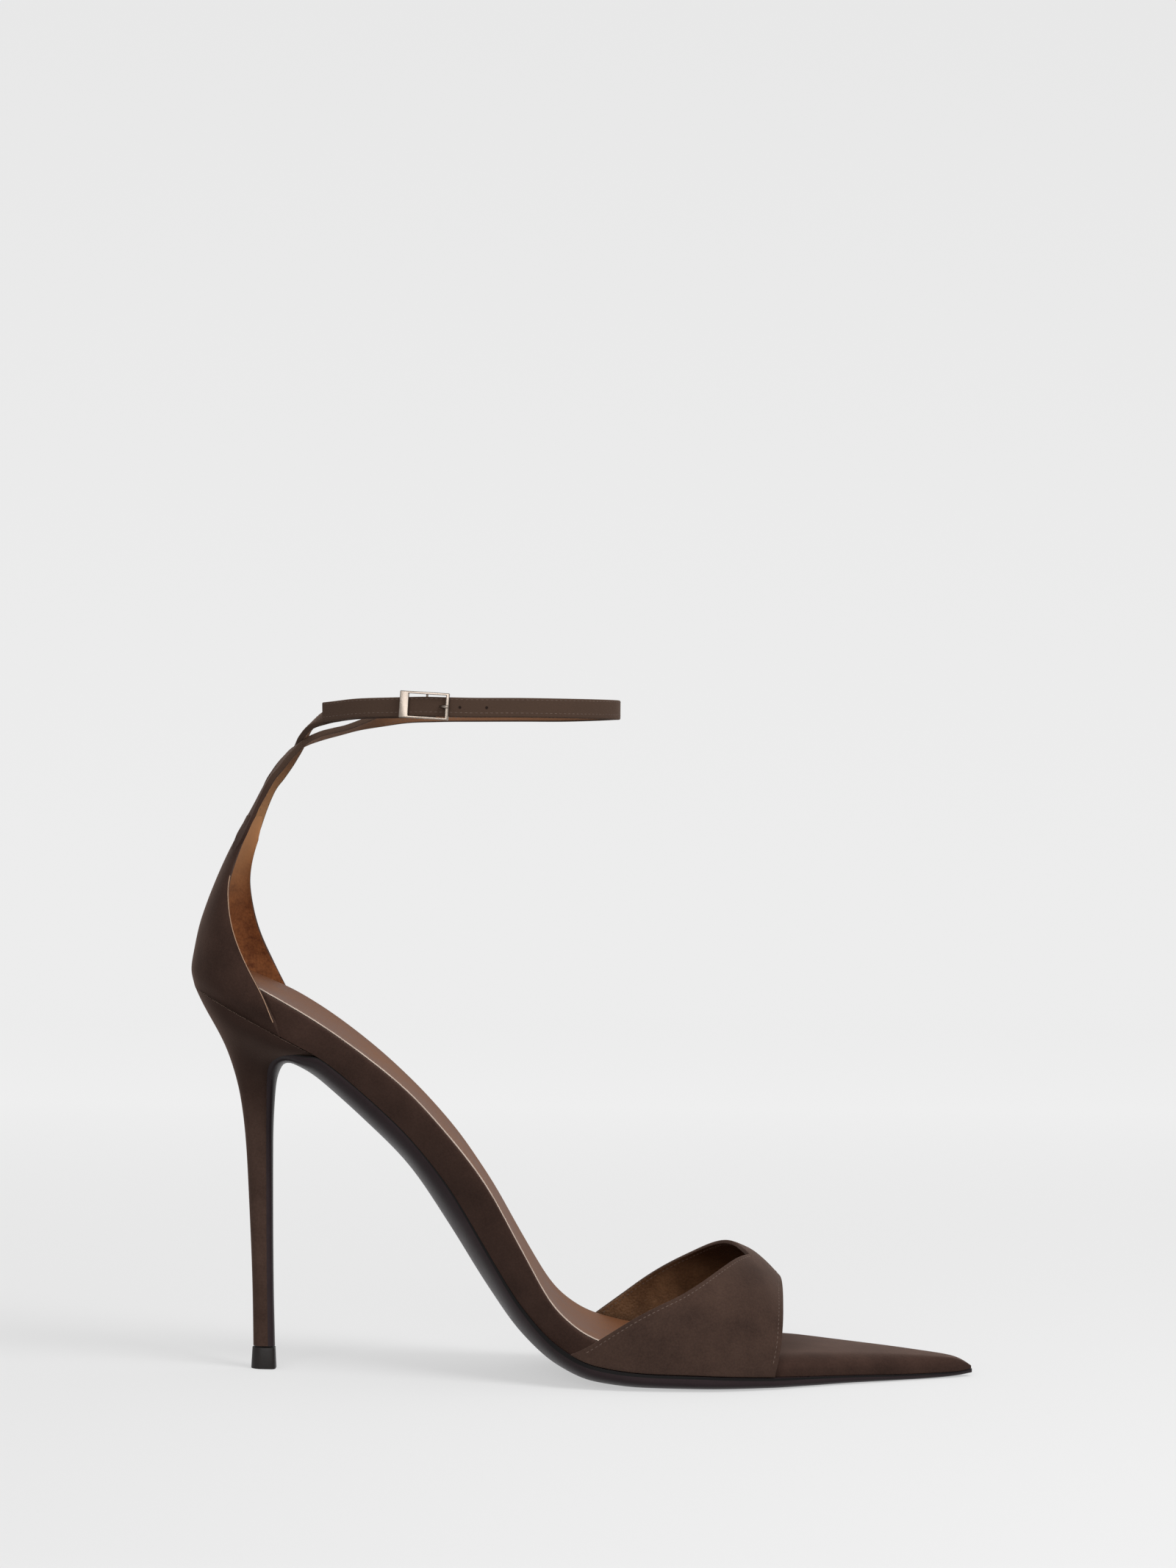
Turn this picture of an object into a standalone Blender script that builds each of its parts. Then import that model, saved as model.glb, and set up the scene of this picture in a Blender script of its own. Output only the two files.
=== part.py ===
# Strap sandal on a stiletto heel, right foot, size EU 37.
# Sizes are in millimetres up to the mesh builders, which turn them into metres.
# x runs from the back of the heel to the toe, -y is the outer side, z is up from the floor.
import math

import bmesh
import bpy
import numpy as np
from mathutils import Matrix, Vector

MM = 0.001
GAP = 0.3
SMOOTH_ANGLE = math.radians(40.0)
SOLE_ARC_PARTS = 11
HEEL_SIDES = 26
COUNTER_TURNS = 22
VAMP_LINES = 8
BAR_SIDES = 12

# Walls and layers.
COUNTER_WALL = 2.0
VAMP_WALL = 1.8
STRAP_WALL = 1.6
STRAP_WIDTH = 5.4
SOCK_WALL = 0.9
SOCK_BACK_X = 5.0
SOCK_FRONT_X = 148.0
SOCK_INSET = 0.9
EDGE_ROUND = 0.8
DISH = 0.02
# The layers lie closest where the arch is steep, behind this place.
ARCH_SLOPE = 1.2
ARCH_FRONT_X = 100.0

# Angle of the heel's own axis to the shoe's length, towards the outer side.
HEEL_TURN = math.radians(5.5)

# Footbed sections from heel to toe: height of the top edge, height of the lower edge, the
# middle line, half widths to the outer and inner side, and how far the lower edge tucks in.
BED_COLUMNS = ("x", "top", "low", "middle", "outer", "inner", "tuck", "rise")
BED = (
    (4.4, 114.9, 105.9, 1.5, 2.5, 2.5, 0.2, 0.0),
    (6.5, 114.0, 104.8, 1.3, 10.6, 10.6, 0.3, 0.0),
    (11.0, 112.1, 102.4, 0.9, 16.8, 16.8, 0.4, 0.0),
    (20.0, 107.4, 97.7, 0.0, 21.0, 21.0, 0.5, 1.0),
    (30.0, 102.0, 92.4, -1.0, 22.2, 22.0, 0.8, 1.8),
    (38.0, 97.3, 88.1, -1.7, 22.4, 21.3, 1.6, 1.7),
    (50.0, 89.0, 78.4, -2.7, 21.7, 19.4, 2.6, 1.4),
    (62.0, 78.8, 67.3, -3.6, 21.3, 18.4, 3.0, 1.1),
    (74.0, 66.5, 52.8, -4.4, 22.5, 19.2, 3.0, 0.4),
    (84.0, 52.5, 37.0, -5.1, 24.8, 21.7, 2.5, 0.1),
    (94.0, 34.6, 21.7, -5.7, 28.2, 25.7, 1.6, 0.4),
    (104.0, 19.4, 11.6, -6.1, 31.8, 29.9, 0.8, 0.2),
    (114.0, 12.8, 6.7, -6.4, 34.4, 33.2, 0.3, 0.0),
    (128.0, 9.8, 4.9, -6.6, 36.1, 35.7, 0.3, 0.0),
    (145.0, 8.7, 4.3, -6.5, 35.6, 36.0, 0.3, 0.0),
    (163.0, 8.7, 3.4, -6.1, 30.3, 31.3, 0.3, 0.0),
    (185.0, 7.7, 2.6, -5.3, 19.5, 20.4, 0.3, 0.0),
    (205.0, 6.3, 1.8, -4.6, 9.3, 9.8, 0.2, 0.0),
    (216.0, 5.0, 1.7, -4.3, 3.4, 3.6, 0.1, 0.0),
    (219.6, 3.7, 2.1, -4.2, 0.8, 0.8, 0.0, 0.0),
)

# Outsole sections under the footbed: lowest height before the floor levels it, how far its
# edge stands out, and how square the section is (2 is an ellipse).
SOLE_COLUMNS = ("x", "bottom", "spread", "square")
SOLE = (
    (40.0, 78.4, 0.0, 2.0),
    (50.0, 69.6, 0.0, 2.0),
    (62.0, 57.4, 0.0, 2.0),
    (74.0, 40.5, 0.0, 2.0),
    (84.0, 24.6, 0.0, 2.1),
    (94.0, 11.0, 0.3, 2.4),
    (104.0, 2.7, 1.4, 3.0),
    (114.0, -0.2, 2.7, 4.0),
    (128.0, -0.3, 3.0, 5.0),
    (145.0, -0.3, 3.0, 5.0),
    (163.0, -0.3, 2.9, 5.0),
    (172.0, -0.3, 1.4, 5.0),
    (185.0, -0.2, 0.8, 4.5),
    (205.0, -0.1, 0.6, 4.0),
    (216.0, 0.4, 0.5, 3.5),
    (219.8, 1.0, 0.3, 3.0),
)

# The outsole's tongue down the front of the heel: its hidden face, its bare face, half width.
TONGUE_SQUARE = 2.86
TONGUE_COLUMNS = ("x_in", "z_in", "x_out", "z_out", "half")
TONGUE = (
    (23.8, 6.4, 24.7, 6.4, 2.8),
    (23.3, 23.0, 24.2, 23.0, 2.8),
    (22.95, 44.0, 23.85, 44.0, 2.9),
    (22.8, 64.0, 23.8, 64.0, 3.4),
    (23.0, 76.5, 24.2, 76.5, 4.7),
    (23.2, 81.3, 24.6, 80.9, 6.4),
    (24.2, 84.6, 25.7, 83.7, 9.6),
    (26.2, 86.5, 27.1, 85.5, 13.2),
    (29.0, 87.4, 29.2, 86.0, 16.8),
    (33.0, 87.2, 32.4, 84.6, 19.2),
)

# Heel sections from the seat down to the tip: back point, front point and half width.
HEEL_COLUMNS = ("x_back", "z_back", "x_front", "z_front", "half")
HEEL = (
    (1.9, 106.95, 37.0, 88.35, 24.2),
    (3.3, 103.2, 32.8, 88.1, 22.4),
    (5.7, 98.6, 28.6, 88.1, 18.8),
    (8.4, 93.8, 25.4, 86.9, 14.2),
    (10.7, 88.8, 23.6, 85.0, 10.2),
    (12.8, 82.5, 22.8, 81.4, 6.9),
    (14.3, 76.5, 22.6, 76.5, 5.2),
    (16.0, 64.1, 22.4, 64.1, 3.8),
    (17.2, 44.0, 22.6, 44.0, 3.2),
    (18.2, 24.0, 22.95, 24.0, 3.0),
    (18.6, 6.4, 23.4, 6.4, 3.0),
)
HEEL_FRONT_SQUARE = 5.0
HEEL_BACK_SQUARE = 2.2
TIP_BACK_X = 18.2
TIP_FRONT_X = 24.9
TIP_HALF = 3.4
TIP_HEIGHT = 6.0

# Counter levels: height and place at the back seam, forward slope, half width, reach to the
# front edge, and how square the U is.
COUNTER_COLUMNS = ("z", "x", "slope", "half", "reach", "square")
COUNTER = (
    (107.4, 1.8, 0.53, 24.4, 26.6, 2.5),
    (112.0, 0.8, 0.42, 25.0, 24.8, 2.5),
    (118.0, 1.5, 0.30, 24.3, 18.6, 2.4),
    (124.0, 2.8, 0.20, 22.4, 13.5, 2.2),
    (130.0, 4.5, 0.10, 20.3, 9.8, 2.1),
    (137.0, 7.1, 0.0, 17.5, 6.7, 2.0),
    (143.0, 9.7, 0.0, 14.8, 5.3, 2.0),
    (149.0, 12.6, 0.0, 13.0, 4.4, 2.0),
    (155.0, 15.8, 0.0, 12.0, 3.7, 2.0),
)
# Where the two back straps grow out of the counter, as a share of the way round to its edge.
STRAP_ROOT = 0.66
STRAP_ROOT_LEVELS = (6.6, 7.4)

# Vamp: height of the crown line along the shoe, and its two cut edges round the arch, by the
# angle from the outer side (0) over the crown (90) to the inner side (180).
CROWN_COLUMNS = ("x", "height")
CROWN = ((104.0, 58.0), (120.0, 49.3), (135.0, 42.8), (146.0, 38.6), (153.5, 36.4), (158.0, 34.5),
         (162.0, 31.4), (166.8, 26.4))
CROWN_OFFSET = 4.0
VAMP_BASE_GAP = 0.6
VAMP_BASE_RISE = 0.1
VAMP_SQUARE = 2.5
VAMP_OUTER_BACK = ((0.0, 107.5), (19.0, 123.8), (37.0, 139.2), (55.0, 148.3), (79.0, 157.1))
VAMP_INNER_BACK = ((79.0, 157.1), (100.0, 152.0), (128.0, 142.9), (157.0, 125.8), (180.0, 108.2))
VAMP_FRONT = ((0.0, 163.3), (20.0, 164.6), (45.0, 165.6), (90.0, 166.4), (135.0, 165.6),
              (180.0, 163.3))

# Strap routes after the counter, centre line by hand. The outer strap crosses to the inner
# side, runs round the ankle and back through the buckle to its cut end.
ANKLE_MIDDLE = (62.0, -3.6)
OUTER_STRAP = (
    (21.6, -8.0, 163.0), (24.2, -6.6, 167.1), (27.2, -4.6, 171.2), (30.6, -1.4, 174.6),
    (34.4, 3.6, 176.6), (40.4, 10.4, 178.8), (48.4, 16.6, 181.4), (58.0, 21.2, 183.9),
    (68.0, 23.8, 184.8), (80.0, 24.6, 185.1), (92.0, 22.4, 185.2), (103.0, 17.0, 185.2),
    (112.0, 9.0, 185.2), (117.8, 0.6, 185.2), (119.2, -5.4, 185.2), (117.6, -12.6, 185.3),
    (112.0, -20.4, 185.4), (103.0, -27.0, 185.5), (92.0, -31.0, 185.5), (80.0, -32.4, 185.3),
    (72.0, -31.9, 185.2), (65.7, -30.8, 185.1), (58.0, -28.8, 185.0), (48.0, -24.0, 184.8),
    (41.0, -18.3, 184.3), (37.6, -14.4, 183.9),
)
INNER_STRAP = (
    (21.4, 8.6, 161.6), (24.6, 7.2, 166.4), (28.2, 5.0, 171.0), (31.5, 1.2, 175.0),
    (33.2, -4.2, 178.4), (36.2, -9.4, 181.2), (42.2, -15.8, 182.6), (49.0, -22.0, 183.8),
    (58.0, -26.4, 184.6), (63.4, -27.4, 184.9), (69.0, -28.4, 185.1),
)

# Buckle, on the outer side: place and turn of its middle, and its own sizes.
BUCKLE_AT = (65.7, -30.8, 185.1)
BUCKLE_TURN = math.radians(-9.5)
BUCKLE_LENGTH = 13.8
BUCKLE_HEIGHT = 7.4
BUCKLE_WIDE_BAR = 2.5
BUCKLE_END_BAR = 0.9
BUCKLE_RAIL = 0.65
BUCKLE_INNER_FACE = 1.15
BUCKLE_OUTER_FACE = 2.05
BUCKLE_BAR_DEPTH = 1.6
BUCKLE_BAR_RADIUS = 0.4
LUG_LENGTH = 1.2
LUG_WIDTH = 0.6
LUG_INSET = 0.02
LUG_LAP = 0.4
CUT_REACH = 9.0
PRONG_RADIUS = 0.4
# Prong route in the buckle's own frame: along the strap, outward from it.
PRONG = ((1.0, -1.55), (2.2, -1.45), (3.7, -0.1), (5.0, 1.8), (6.0, 2.75), (6.9, 2.8))
SLOT_FROM = 2.4
SLOT_TO = 5.2
SLOT_HEIGHT = 1.7
SLOT_REACH = 1.4

# Colours, linear.
SUEDE = (0.048, 0.030, 0.025, 1.0)
FOOTBED_LEATHER = (0.20, 0.125, 0.085, 1.0)
SOLE_BLACK = (0.012, 0.011, 0.012, 1.0)
METAL = (0.72, 0.68, 0.62, 1.0)


def clear_scene():
    """Remove every object so that a fresh run starts empty."""
    for old in list(bpy.data.objects):
        bpy.data.objects.remove(old, do_unlink=True)


def new_collection(name):
    """Make a collection in the scene."""
    made = bpy.data.collections.new(name)
    bpy.context.scene.collection.children.link(made)
    return made


def smooth_curve(places, values):
    """Return a function through the rows that is smooth and never overshoots them."""
    xs = np.array(places, dtype=float)
    ys = np.array(values, dtype=float)
    step = np.diff(xs)
    rate = np.diff(ys) / step
    slope = np.zeros(len(xs))
    slope[0] = rate[0]
    slope[-1] = rate[-1]
    for i in range(1, len(xs) - 1):
        if rate[i - 1] * rate[i] > 0.0:
            left = 2.0 * step[i] + step[i - 1]
            right = step[i] + 2.0 * step[i - 1]
            slope[i] = (left + right) / (left / rate[i - 1] + right / rate[i])

    def at(x):
        i = int(np.clip(np.searchsorted(xs, x) - 1, 0, len(step) - 1))
        t = float(np.clip((x - xs[i]) / step[i], 0.0, 1.0))
        h = step[i]
        return float(
            ys[i] * (2 * t ** 3 - 3 * t ** 2 + 1)
            + slope[i] * h * (t ** 3 - 2 * t ** 2 + t)
            + ys[i + 1] * (3 * t ** 2 - 2 * t ** 3)
            + slope[i + 1] * h * (t ** 3 - t ** 2)
        )

    return at


def by_place(columns, rows):
    """Return a dict of smooth functions of the first column, one for each other column."""
    places = [row[0] for row in rows]
    made = {}
    for i, name in enumerate(columns[1:], start=1):
        made[name] = smooth_curve(places, [row[i] for row in rows])
    return made


def by_number(columns, rows):
    """Return a dict of smooth functions of the row's number, one for each column."""
    numbers = range(len(rows))
    return {name: smooth_curve(numbers, [row[i] for row in rows]) for i, name in enumerate(columns)}


def between(rows, parts):
    """Return the places of the rows with each interval cut into equal parts."""
    places = [row[0] for row in rows]
    made = []
    for left, right in zip(places, places[1:]):
        made.extend(left + (right - left) * i / parts for i in range(parts))
    return made + [places[-1]]


bed = by_place(BED_COLUMNS, BED)
sole = by_place(SOLE_COLUMNS, SOLE)
crown = by_place(CROWN_COLUMNS, CROWN)
counter = by_number(COUNTER_COLUMNS, COUNTER)


def shoe_middle():
    """Middle of the shoe's outline on the floor, which becomes the origin."""
    low_x = min(row[COUNTER_COLUMNS.index("x")] for row in COUNTER)
    high_x = SOLE[-1][0]
    across = [point[1] for x in between(SOLE, 2) for point in sole_ring(x)]
    return Vector(((low_x + high_x) / 2.0, (min(across) + max(across)) / 2.0, 0.0))


def paint(obj, name, colour, roughness, metallic=0.0):
    """Give the object a material of its own."""
    material = bpy.data.materials.new(name)
    material.use_nodes = True
    shader = material.node_tree.nodes["Principled BSDF"]
    shader.inputs["Base Color"].default_value = colour
    shader.inputs["Roughness"].default_value = roughness
    shader.inputs["Metallic"].default_value = metallic
    obj.data.materials.clear()
    obj.data.materials.append(material)


def add_object(name, mesh_source, collection, origin=None):
    """Turn a bmesh in millimetres into a named, smooth-shaded object in metres."""
    shift = -shoe_middle() if origin is None else origin
    bmesh.ops.translate(mesh_source, vec=shift, verts=mesh_source.verts)
    bmesh.ops.scale(mesh_source, vec=(MM, MM, MM), verts=mesh_source.verts)
    bmesh.ops.recalc_face_normals(mesh_source, faces=mesh_source.faces)
    mesh = bpy.data.meshes.new(name)
    mesh_source.to_mesh(mesh)
    mesh_source.free()
    mesh.shade_smooth()
    mesh.set_sharp_from_angle(angle=SMOOTH_ANGLE)
    obj = bpy.data.objects.new(name, mesh)
    collection.objects.link(obj)
    return obj


def loft(rings):
    """Bridge a row of closed rings into one solid with flat ends."""
    made = bmesh.new()
    loops = []
    for ring in rings:
        verts = [made.verts.new(point) for point in ring]
        loops.append(verts)
    count = len(loops[0])
    for near, far in zip(loops, loops[1:]):
        for i in range(count):
            j = (i + 1) % count
            made.faces.new((near[i], near[j], far[j], far[i]))
    made.faces.new(loops[0][::-1])
    made.faces.new(loops[-1])
    return made


def sheet(rows):
    """Make an open surface through rows of points."""
    made = bmesh.new()
    columns = len(rows[0]) - 1
    lines = len(rows) - 1
    grid = bmesh.ops.create_grid(made, x_segments=lines, y_segments=columns, size=1.0)
    for vert in grid["verts"]:
        row = round((vert.co.x + 1.0) * 0.5 * lines)
        column = round((vert.co.y + 1.0) * 0.5 * columns)
        vert.co = rows[row][column]
    return made


def thicken(obj, wall, offset):
    """Give an open surface its wall."""
    modifier = obj.modifiers.new("wall", "SOLIDIFY")
    modifier.thickness = wall * MM
    modifier.offset = offset
    modifier.use_even_offset = True
    modifier.use_quality_normals = True


def combine(obj, other, operation, solver="EXACT"):
    """Join another mesh to the object, or cut it away."""
    modifier = obj.modifiers.new(operation.lower(), "BOOLEAN")
    modifier.operation = operation
    modifier.solver = solver
    modifier.object = other
    other.hide_render = True
    other.display_type = "WIRE"


def bed_ring(x):
    """Closed section of the wrapped footbed, from its lower outer edge over the top."""
    middle = bed["middle"](x)
    top = bed["top"](x)
    low = bed["low"](x)
    rise = bed["rise"](x)
    tuck = bed["tuck"](x)
    outer = bed["outer"](x)
    inner = bed["inner"](x)
    soft = min(EDGE_ROUND, 0.4 * outer)
    drop = min(EDGE_ROUND, 0.3 * (top - low))
    dish = DISH * (outer + inner)
    half_way = 0.5 * (top + low)
    return [
        (x, middle - outer + tuck, low),
        (x, middle - outer + 0.3 * tuck, half_way),
        (x, middle - outer, top - drop),
        (x, middle - outer + soft, top),
        (x, middle - 0.4 * outer, top - 0.7 * dish + 0.3 * rise),
        (x, middle, top - dish + 0.5 * rise),
        (x, middle + 0.4 * inner, top - 0.7 * dish + 0.7 * rise),
        (x, middle + inner - soft, top + rise),
        (x, middle + inner, top + rise - drop),
        (x, middle + inner - 0.3 * tuck, half_way + 0.5 * rise),
        (x, middle + inner - tuck, low),
    ]


def make_footbed(parts):
    """The board that carries the foot, wrapped in suede, from heel to toe point."""
    rings = [bed_ring(x) for x in between(BED, 2)]
    return add_object("wrapped_footbed", loft(rings), parts)


def sock_ring(x):
    """Section of the leather sock, lying on the footbed."""
    outline = bed_ring(x)[3:8]
    middle = bed["middle"](x)
    lower = []
    for point in outline:
        away = point[1] - middle
        pulled = math.copysign(max(abs(away) - SOCK_INSET, 0.0), away)
        lower.append((x, middle + pulled, point[2] + GAP))
    upper = [(point[0], point[1], point[2] + SOCK_WALL) for point in lower]
    return lower + upper[::-1]


def make_sock(parts):
    """The leather lining on top of the footbed, ending out of sight under the vamp."""
    stations = [x for x in between(BED, 2) if SOCK_BACK_X < x < SOCK_FRONT_X]
    return add_object("insole_sock", loft([sock_ring(x) for x in stations]), parts)


def sole_ring(x):
    """Section of the outsole: a flat top, and a rounded underside levelled by the floor."""
    middle = bed["middle"](x)
    slope = ARCH_SLOPE if x < ARCH_FRONT_X else 0.0
    top = bed["low"](x) - GAP * math.hypot(1.0, slope)
    tuck = bed["tuck"](x)
    outer = bed["outer"](x) - tuck + sole["spread"](x)
    inner = bed["inner"](x) - tuck + sole["spread"](x)
    depth = top - sole["bottom"](x)
    square = sole["square"](x)
    ring = [(x, middle - outer, top), (x, middle + inner, top)]
    for i in range(1, SOLE_ARC_PARTS):
        angle = math.pi * i / SOLE_ARC_PARTS
        across = math.copysign(abs(math.cos(angle)) ** (2.0 / square), math.cos(angle))
        down = math.sin(angle) ** (2.0 / square)
        half = inner if across > 0.0 else outer
        ring.append((x, middle + across * half, max(top - depth * down, 0.0)))
    return ring


def tongue_ring(tongue, number):
    """Section of the outsole's tongue, in the same order of points as a sole section."""
    row = {name: at(number) for name, at in tongue.items()}
    middle_in = bed["middle"](row["x_in"])
    middle_out = bed["middle"](row["x_out"])
    ring = [(row["x_in"], middle_in + side * row["half"], row["z_in"]) for side in (-1.0, 1.0)]
    for i in range(1, SOLE_ARC_PARTS):
        angle = math.pi * i / SOLE_ARC_PARTS
        across = math.copysign(abs(math.cos(angle)) ** (2.0 / TONGUE_SQUARE), math.cos(angle))
        out = math.sin(angle) ** (2.0 / TONGUE_SQUARE)
        x = row["x_in"] + (row["x_out"] - row["x_in"]) * out
        z = row["z_in"] + (row["z_out"] - row["z_in"]) * out
        ring.append((x, middle_out + across * row["half"], z))
    return ring


def make_outsole(parts):
    """The black sole: forefoot and arch, then round and down the front of the heel."""
    tongue = by_number(TONGUE_COLUMNS, TONGUE)
    steps = 2 * (len(TONGUE) - 1)
    rings = [tongue_ring(tongue, i / 2.0) for i in range(steps + 1)]
    rings += [sole_ring(x) for x in between(SOLE, 2)]
    return add_object("outsole", loft(rings), parts)


def heel_ring(heel, number):
    """D-shaped section of the heel, round at the back and flat at the front."""
    row = {name: at(number) for name, at in heel.items()}
    ring = []
    for i in range(HEEL_SIDES):
        angle = 2.0 * math.pi * (i + 0.5) / HEEL_SIDES
        cos = math.cos(angle)
        sin = math.sin(angle)
        square = HEEL_FRONT_SQUARE if cos > 0.0 else HEEL_BACK_SQUARE
        along = 0.5 + 0.5 * math.copysign(abs(cos) ** (2.0 / square), cos)
        across = math.copysign(abs(sin) ** (2.0 / square), sin)
        x = row["x_back"] + along * (row["x_front"] - row["x_back"])
        z = row["z_back"] + along * (row["z_front"] - row["z_back"])
        ring.append((x, bed["middle"](x) + across * row["half"], z))
    return ring


def make_heel(parts):
    """The suede-covered stiletto heel."""
    heel = by_number(HEEL_COLUMNS, HEEL)
    steps = 2 * (len(HEEL) - 1)
    rings = [heel_ring(heel, i / 2.0) for i in range(steps + 1)]
    return add_object("heel", loft(rings), parts)


def make_tip(parts):
    """The rubber top piece that the heel stands on."""
    tip = {
        "x_back": lambda z: TIP_BACK_X, "z_back": lambda z: z,
        "x_front": lambda z: TIP_FRONT_X, "z_front": lambda z: z,
        "half": lambda z: TIP_HALF,
    }
    return add_object("heel_tip", loft([heel_ring(tip, 0.0), heel_ring(tip, TIP_HEIGHT)]), parts)


def counter_point(number, turn):
    """Point of the counter's outside: level number, and -1 to 1 round from edge to edge."""
    row = {name: at(number) for name, at in counter.items()}
    side = math.copysign(1.0, turn)
    reach = row["reach"] + side * row["half"] * math.tan(HEEL_TURN)
    angle = abs(turn) * math.pi / 2.0
    forward = reach * (1.0 - math.cos(angle) ** (2.0 / row["square"]))
    across = row["half"] * math.sin(angle) ** (2.0 / row["square"])
    x = row["x"] + forward
    return Vector((x, bed["middle"](x) + side * across, row["z"] - row["slope"] * forward))


def make_counter(parts):
    """The heel cup, an open U-shaped wall that narrows up the back of the ankle."""
    lines = 2 * (len(COUNTER) - 1)
    turns = [2.0 * i / COUNTER_TURNS - 1.0 for i in range(COUNTER_TURNS + 1)]
    rows = [[counter_point(i / 2.0, turn) for turn in turns] for i in range(lines + 1)]
    obj = add_object("counter_and_ankle_strap", sheet(rows), parts)
    thicken(obj, COUNTER_WALL, -1.0)
    return obj


def route(points, parts_between):
    """Return a smooth route through the points."""
    ends = [Vector(point) for point in points]
    made = []
    for i in range(len(ends) - 1):
        before = ends[max(i - 1, 0)]
        after = ends[min(i + 2, len(ends) - 1)]
        for j in range(parts_between):
            t = j / parts_between
            left = (ends[i + 1] - before) * 0.5
            right = (after - ends[i]) * 0.5
            made.append(
                ends[i] * (2 * t ** 3 - 3 * t ** 2 + 1) + left * (t ** 3 - 2 * t ** 2 + t)
                + ends[i + 1] * (3 * t ** 2 - 2 * t ** 3) + right * (t ** 3 - t ** 2)
            )
    return made + [ends[-1]]


def strap_rows(points):
    """Rows of a strap's middle surface, lying flat against the ankle all the way."""
    rows = []
    for i, place in enumerate(points):
        along = (points[min(i + 1, len(points) - 1)] - points[max(i - 1, 0)]).normalized()
        outward = Vector((place.x - ANKLE_MIDDLE[0], place.y - ANKLE_MIDDLE[1], 0.0))
        across = outward.cross(along).normalized() * (STRAP_WIDTH / 2.0)
        rows.append((place - across, place + across))
    return rows


def make_strap(name, side, points, cutters):
    """A strap that grows out of the counter on one side, -1 outer or 1 inner."""
    root = []
    for level in STRAP_ROOT_LEVELS:
        outside = counter_point(level, side * STRAP_ROOT)
        inward = Vector((ANKLE_MIDDLE[0] - outside.x, ANKLE_MIDDLE[1] - outside.y, 0.0)).normalized()
        root.append(tuple(outside + inward * COUNTER_WALL / 2.0))
    rows = strap_rows(route(root + list(points), 3))
    obj = add_object(name, sheet(rows), cutters)
    thicken(obj, STRAP_WALL, 0.0)
    return obj


def make_vamp(parts):
    """The wide band over the toes, an open arch with a V cut in its back edge."""
    outer_back = smooth_curve(*zip(*VAMP_OUTER_BACK))
    inner_back = smooth_curve(*zip(*VAMP_INNER_BACK))
    front = smooth_curve(*zip(*VAMP_FRONT))
    angles = between(VAMP_OUTER_BACK, 4)[:-1] + between(VAMP_INNER_BACK, 5)
    rows = []
    for angle in angles:
        back = outer_back(angle) if angle < VAMP_OUTER_BACK[-1][0] else inner_back(angle)
        span = front(angle) - back
        places = [back + span * i / VAMP_LINES for i in range(VAMP_LINES + 1)]
        rows.append([vamp_point(x, angle) for x in places])
    obj = add_object("vamp_band", sheet(rows), parts)
    thicken(obj, VAMP_WALL, -1.0)
    return obj


def vamp_point(x, angle):
    """Point of the vamp's outside at a place along the shoe and an angle round the arch."""
    turn = math.radians(angle)
    low = bed["low"](x) + VAMP_BASE_RISE
    ridge = bed["middle"](x) + CROWN_OFFSET
    out = VAMP_BASE_GAP + VAMP_WALL
    if angle < 90.0:
        half = bed["outer"](x) + out + CROWN_OFFSET
        across = -half * max(math.cos(turn), 0.0) ** (2.0 / VAMP_SQUARE)
    else:
        half = bed["inner"](x) + out - CROWN_OFFSET
        across = half * max(-math.cos(turn), 0.0) ** (2.0 / VAMP_SQUARE)
    return Vector((x, ridge + across, low + (crown["height"](x) - low) * math.sin(turn)))


def buckle_matrix():
    """Place of the buckle: its x along the strap, its -y outward, its z up."""
    place = (Vector(BUCKLE_AT) - shoe_middle()) * MM
    return Matrix.Translation(place) @ Matrix.Rotation(BUCKLE_TURN, 4, "Z")


def block(name, low, high, collection):
    """A box between two corners, in the buckle's own frame."""
    made = bmesh.new()
    size = [b - a for a, b in zip(low, high)]
    middle = [(a + b) / 2.0 for a, b in zip(low, high)]
    place = Matrix.Translation(middle) @ Matrix.Diagonal(size + [1.0])
    bmesh.ops.create_cube(made, size=1.0, matrix=place)
    obj = add_object(name, made, collection, Vector())
    obj.matrix_world = buckle_matrix()
    return obj


def make_buckle(parts, cutters):
    """The metal frame with one wide bar, and the bar under the strap that carries the prong."""
    far = BUCKLE_LENGTH / 2.0
    tall = BUCKLE_HEIGHT / 2.0
    frame = block(
        "buckle_frame",
        (-far, -BUCKLE_OUTER_FACE, -tall),
        (far, -BUCKLE_INNER_FACE, tall), parts,
    )
    window = block(
        "buckle_window",
        (-far + BUCKLE_WIDE_BAR, -CUT_REACH, -tall + BUCKLE_RAIL),
        (far - BUCKLE_END_BAR, CUT_REACH, tall - BUCKLE_RAIL), cutters,
    )
    combine(frame, window, "DIFFERENCE")
    depth = BUCKLE_BAR_DEPTH + BUCKLE_BAR_RADIUS
    high = tall - LUG_INSET
    for name, low in (("upper", high - LUG_WIDTH), ("lower", -high)):
        lug = block(
            "buckle_lug_" + name,
            (-LUG_LENGTH / 2.0, -BUCKLE_INNER_FACE - LUG_LAP, low),
            (LUG_LENGTH / 2.0, depth, low + LUG_WIDTH), cutters,
        )
        combine(frame, lug, "UNION")
    made = bmesh.new()
    bmesh.ops.create_cone(
        made, cap_ends=True, segments=BAR_SIDES, radius1=BUCKLE_BAR_RADIUS,
        radius2=BUCKLE_BAR_RADIUS, depth=BUCKLE_HEIGHT - BUCKLE_RAIL,
        matrix=Matrix.Translation((0.0, BUCKLE_BAR_DEPTH, 0.0)),
    )
    bar = add_object("buckle_bar", made, cutters, Vector())
    bar.matrix_world = buckle_matrix()
    combine(frame, bar, "UNION")
    return frame


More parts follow.
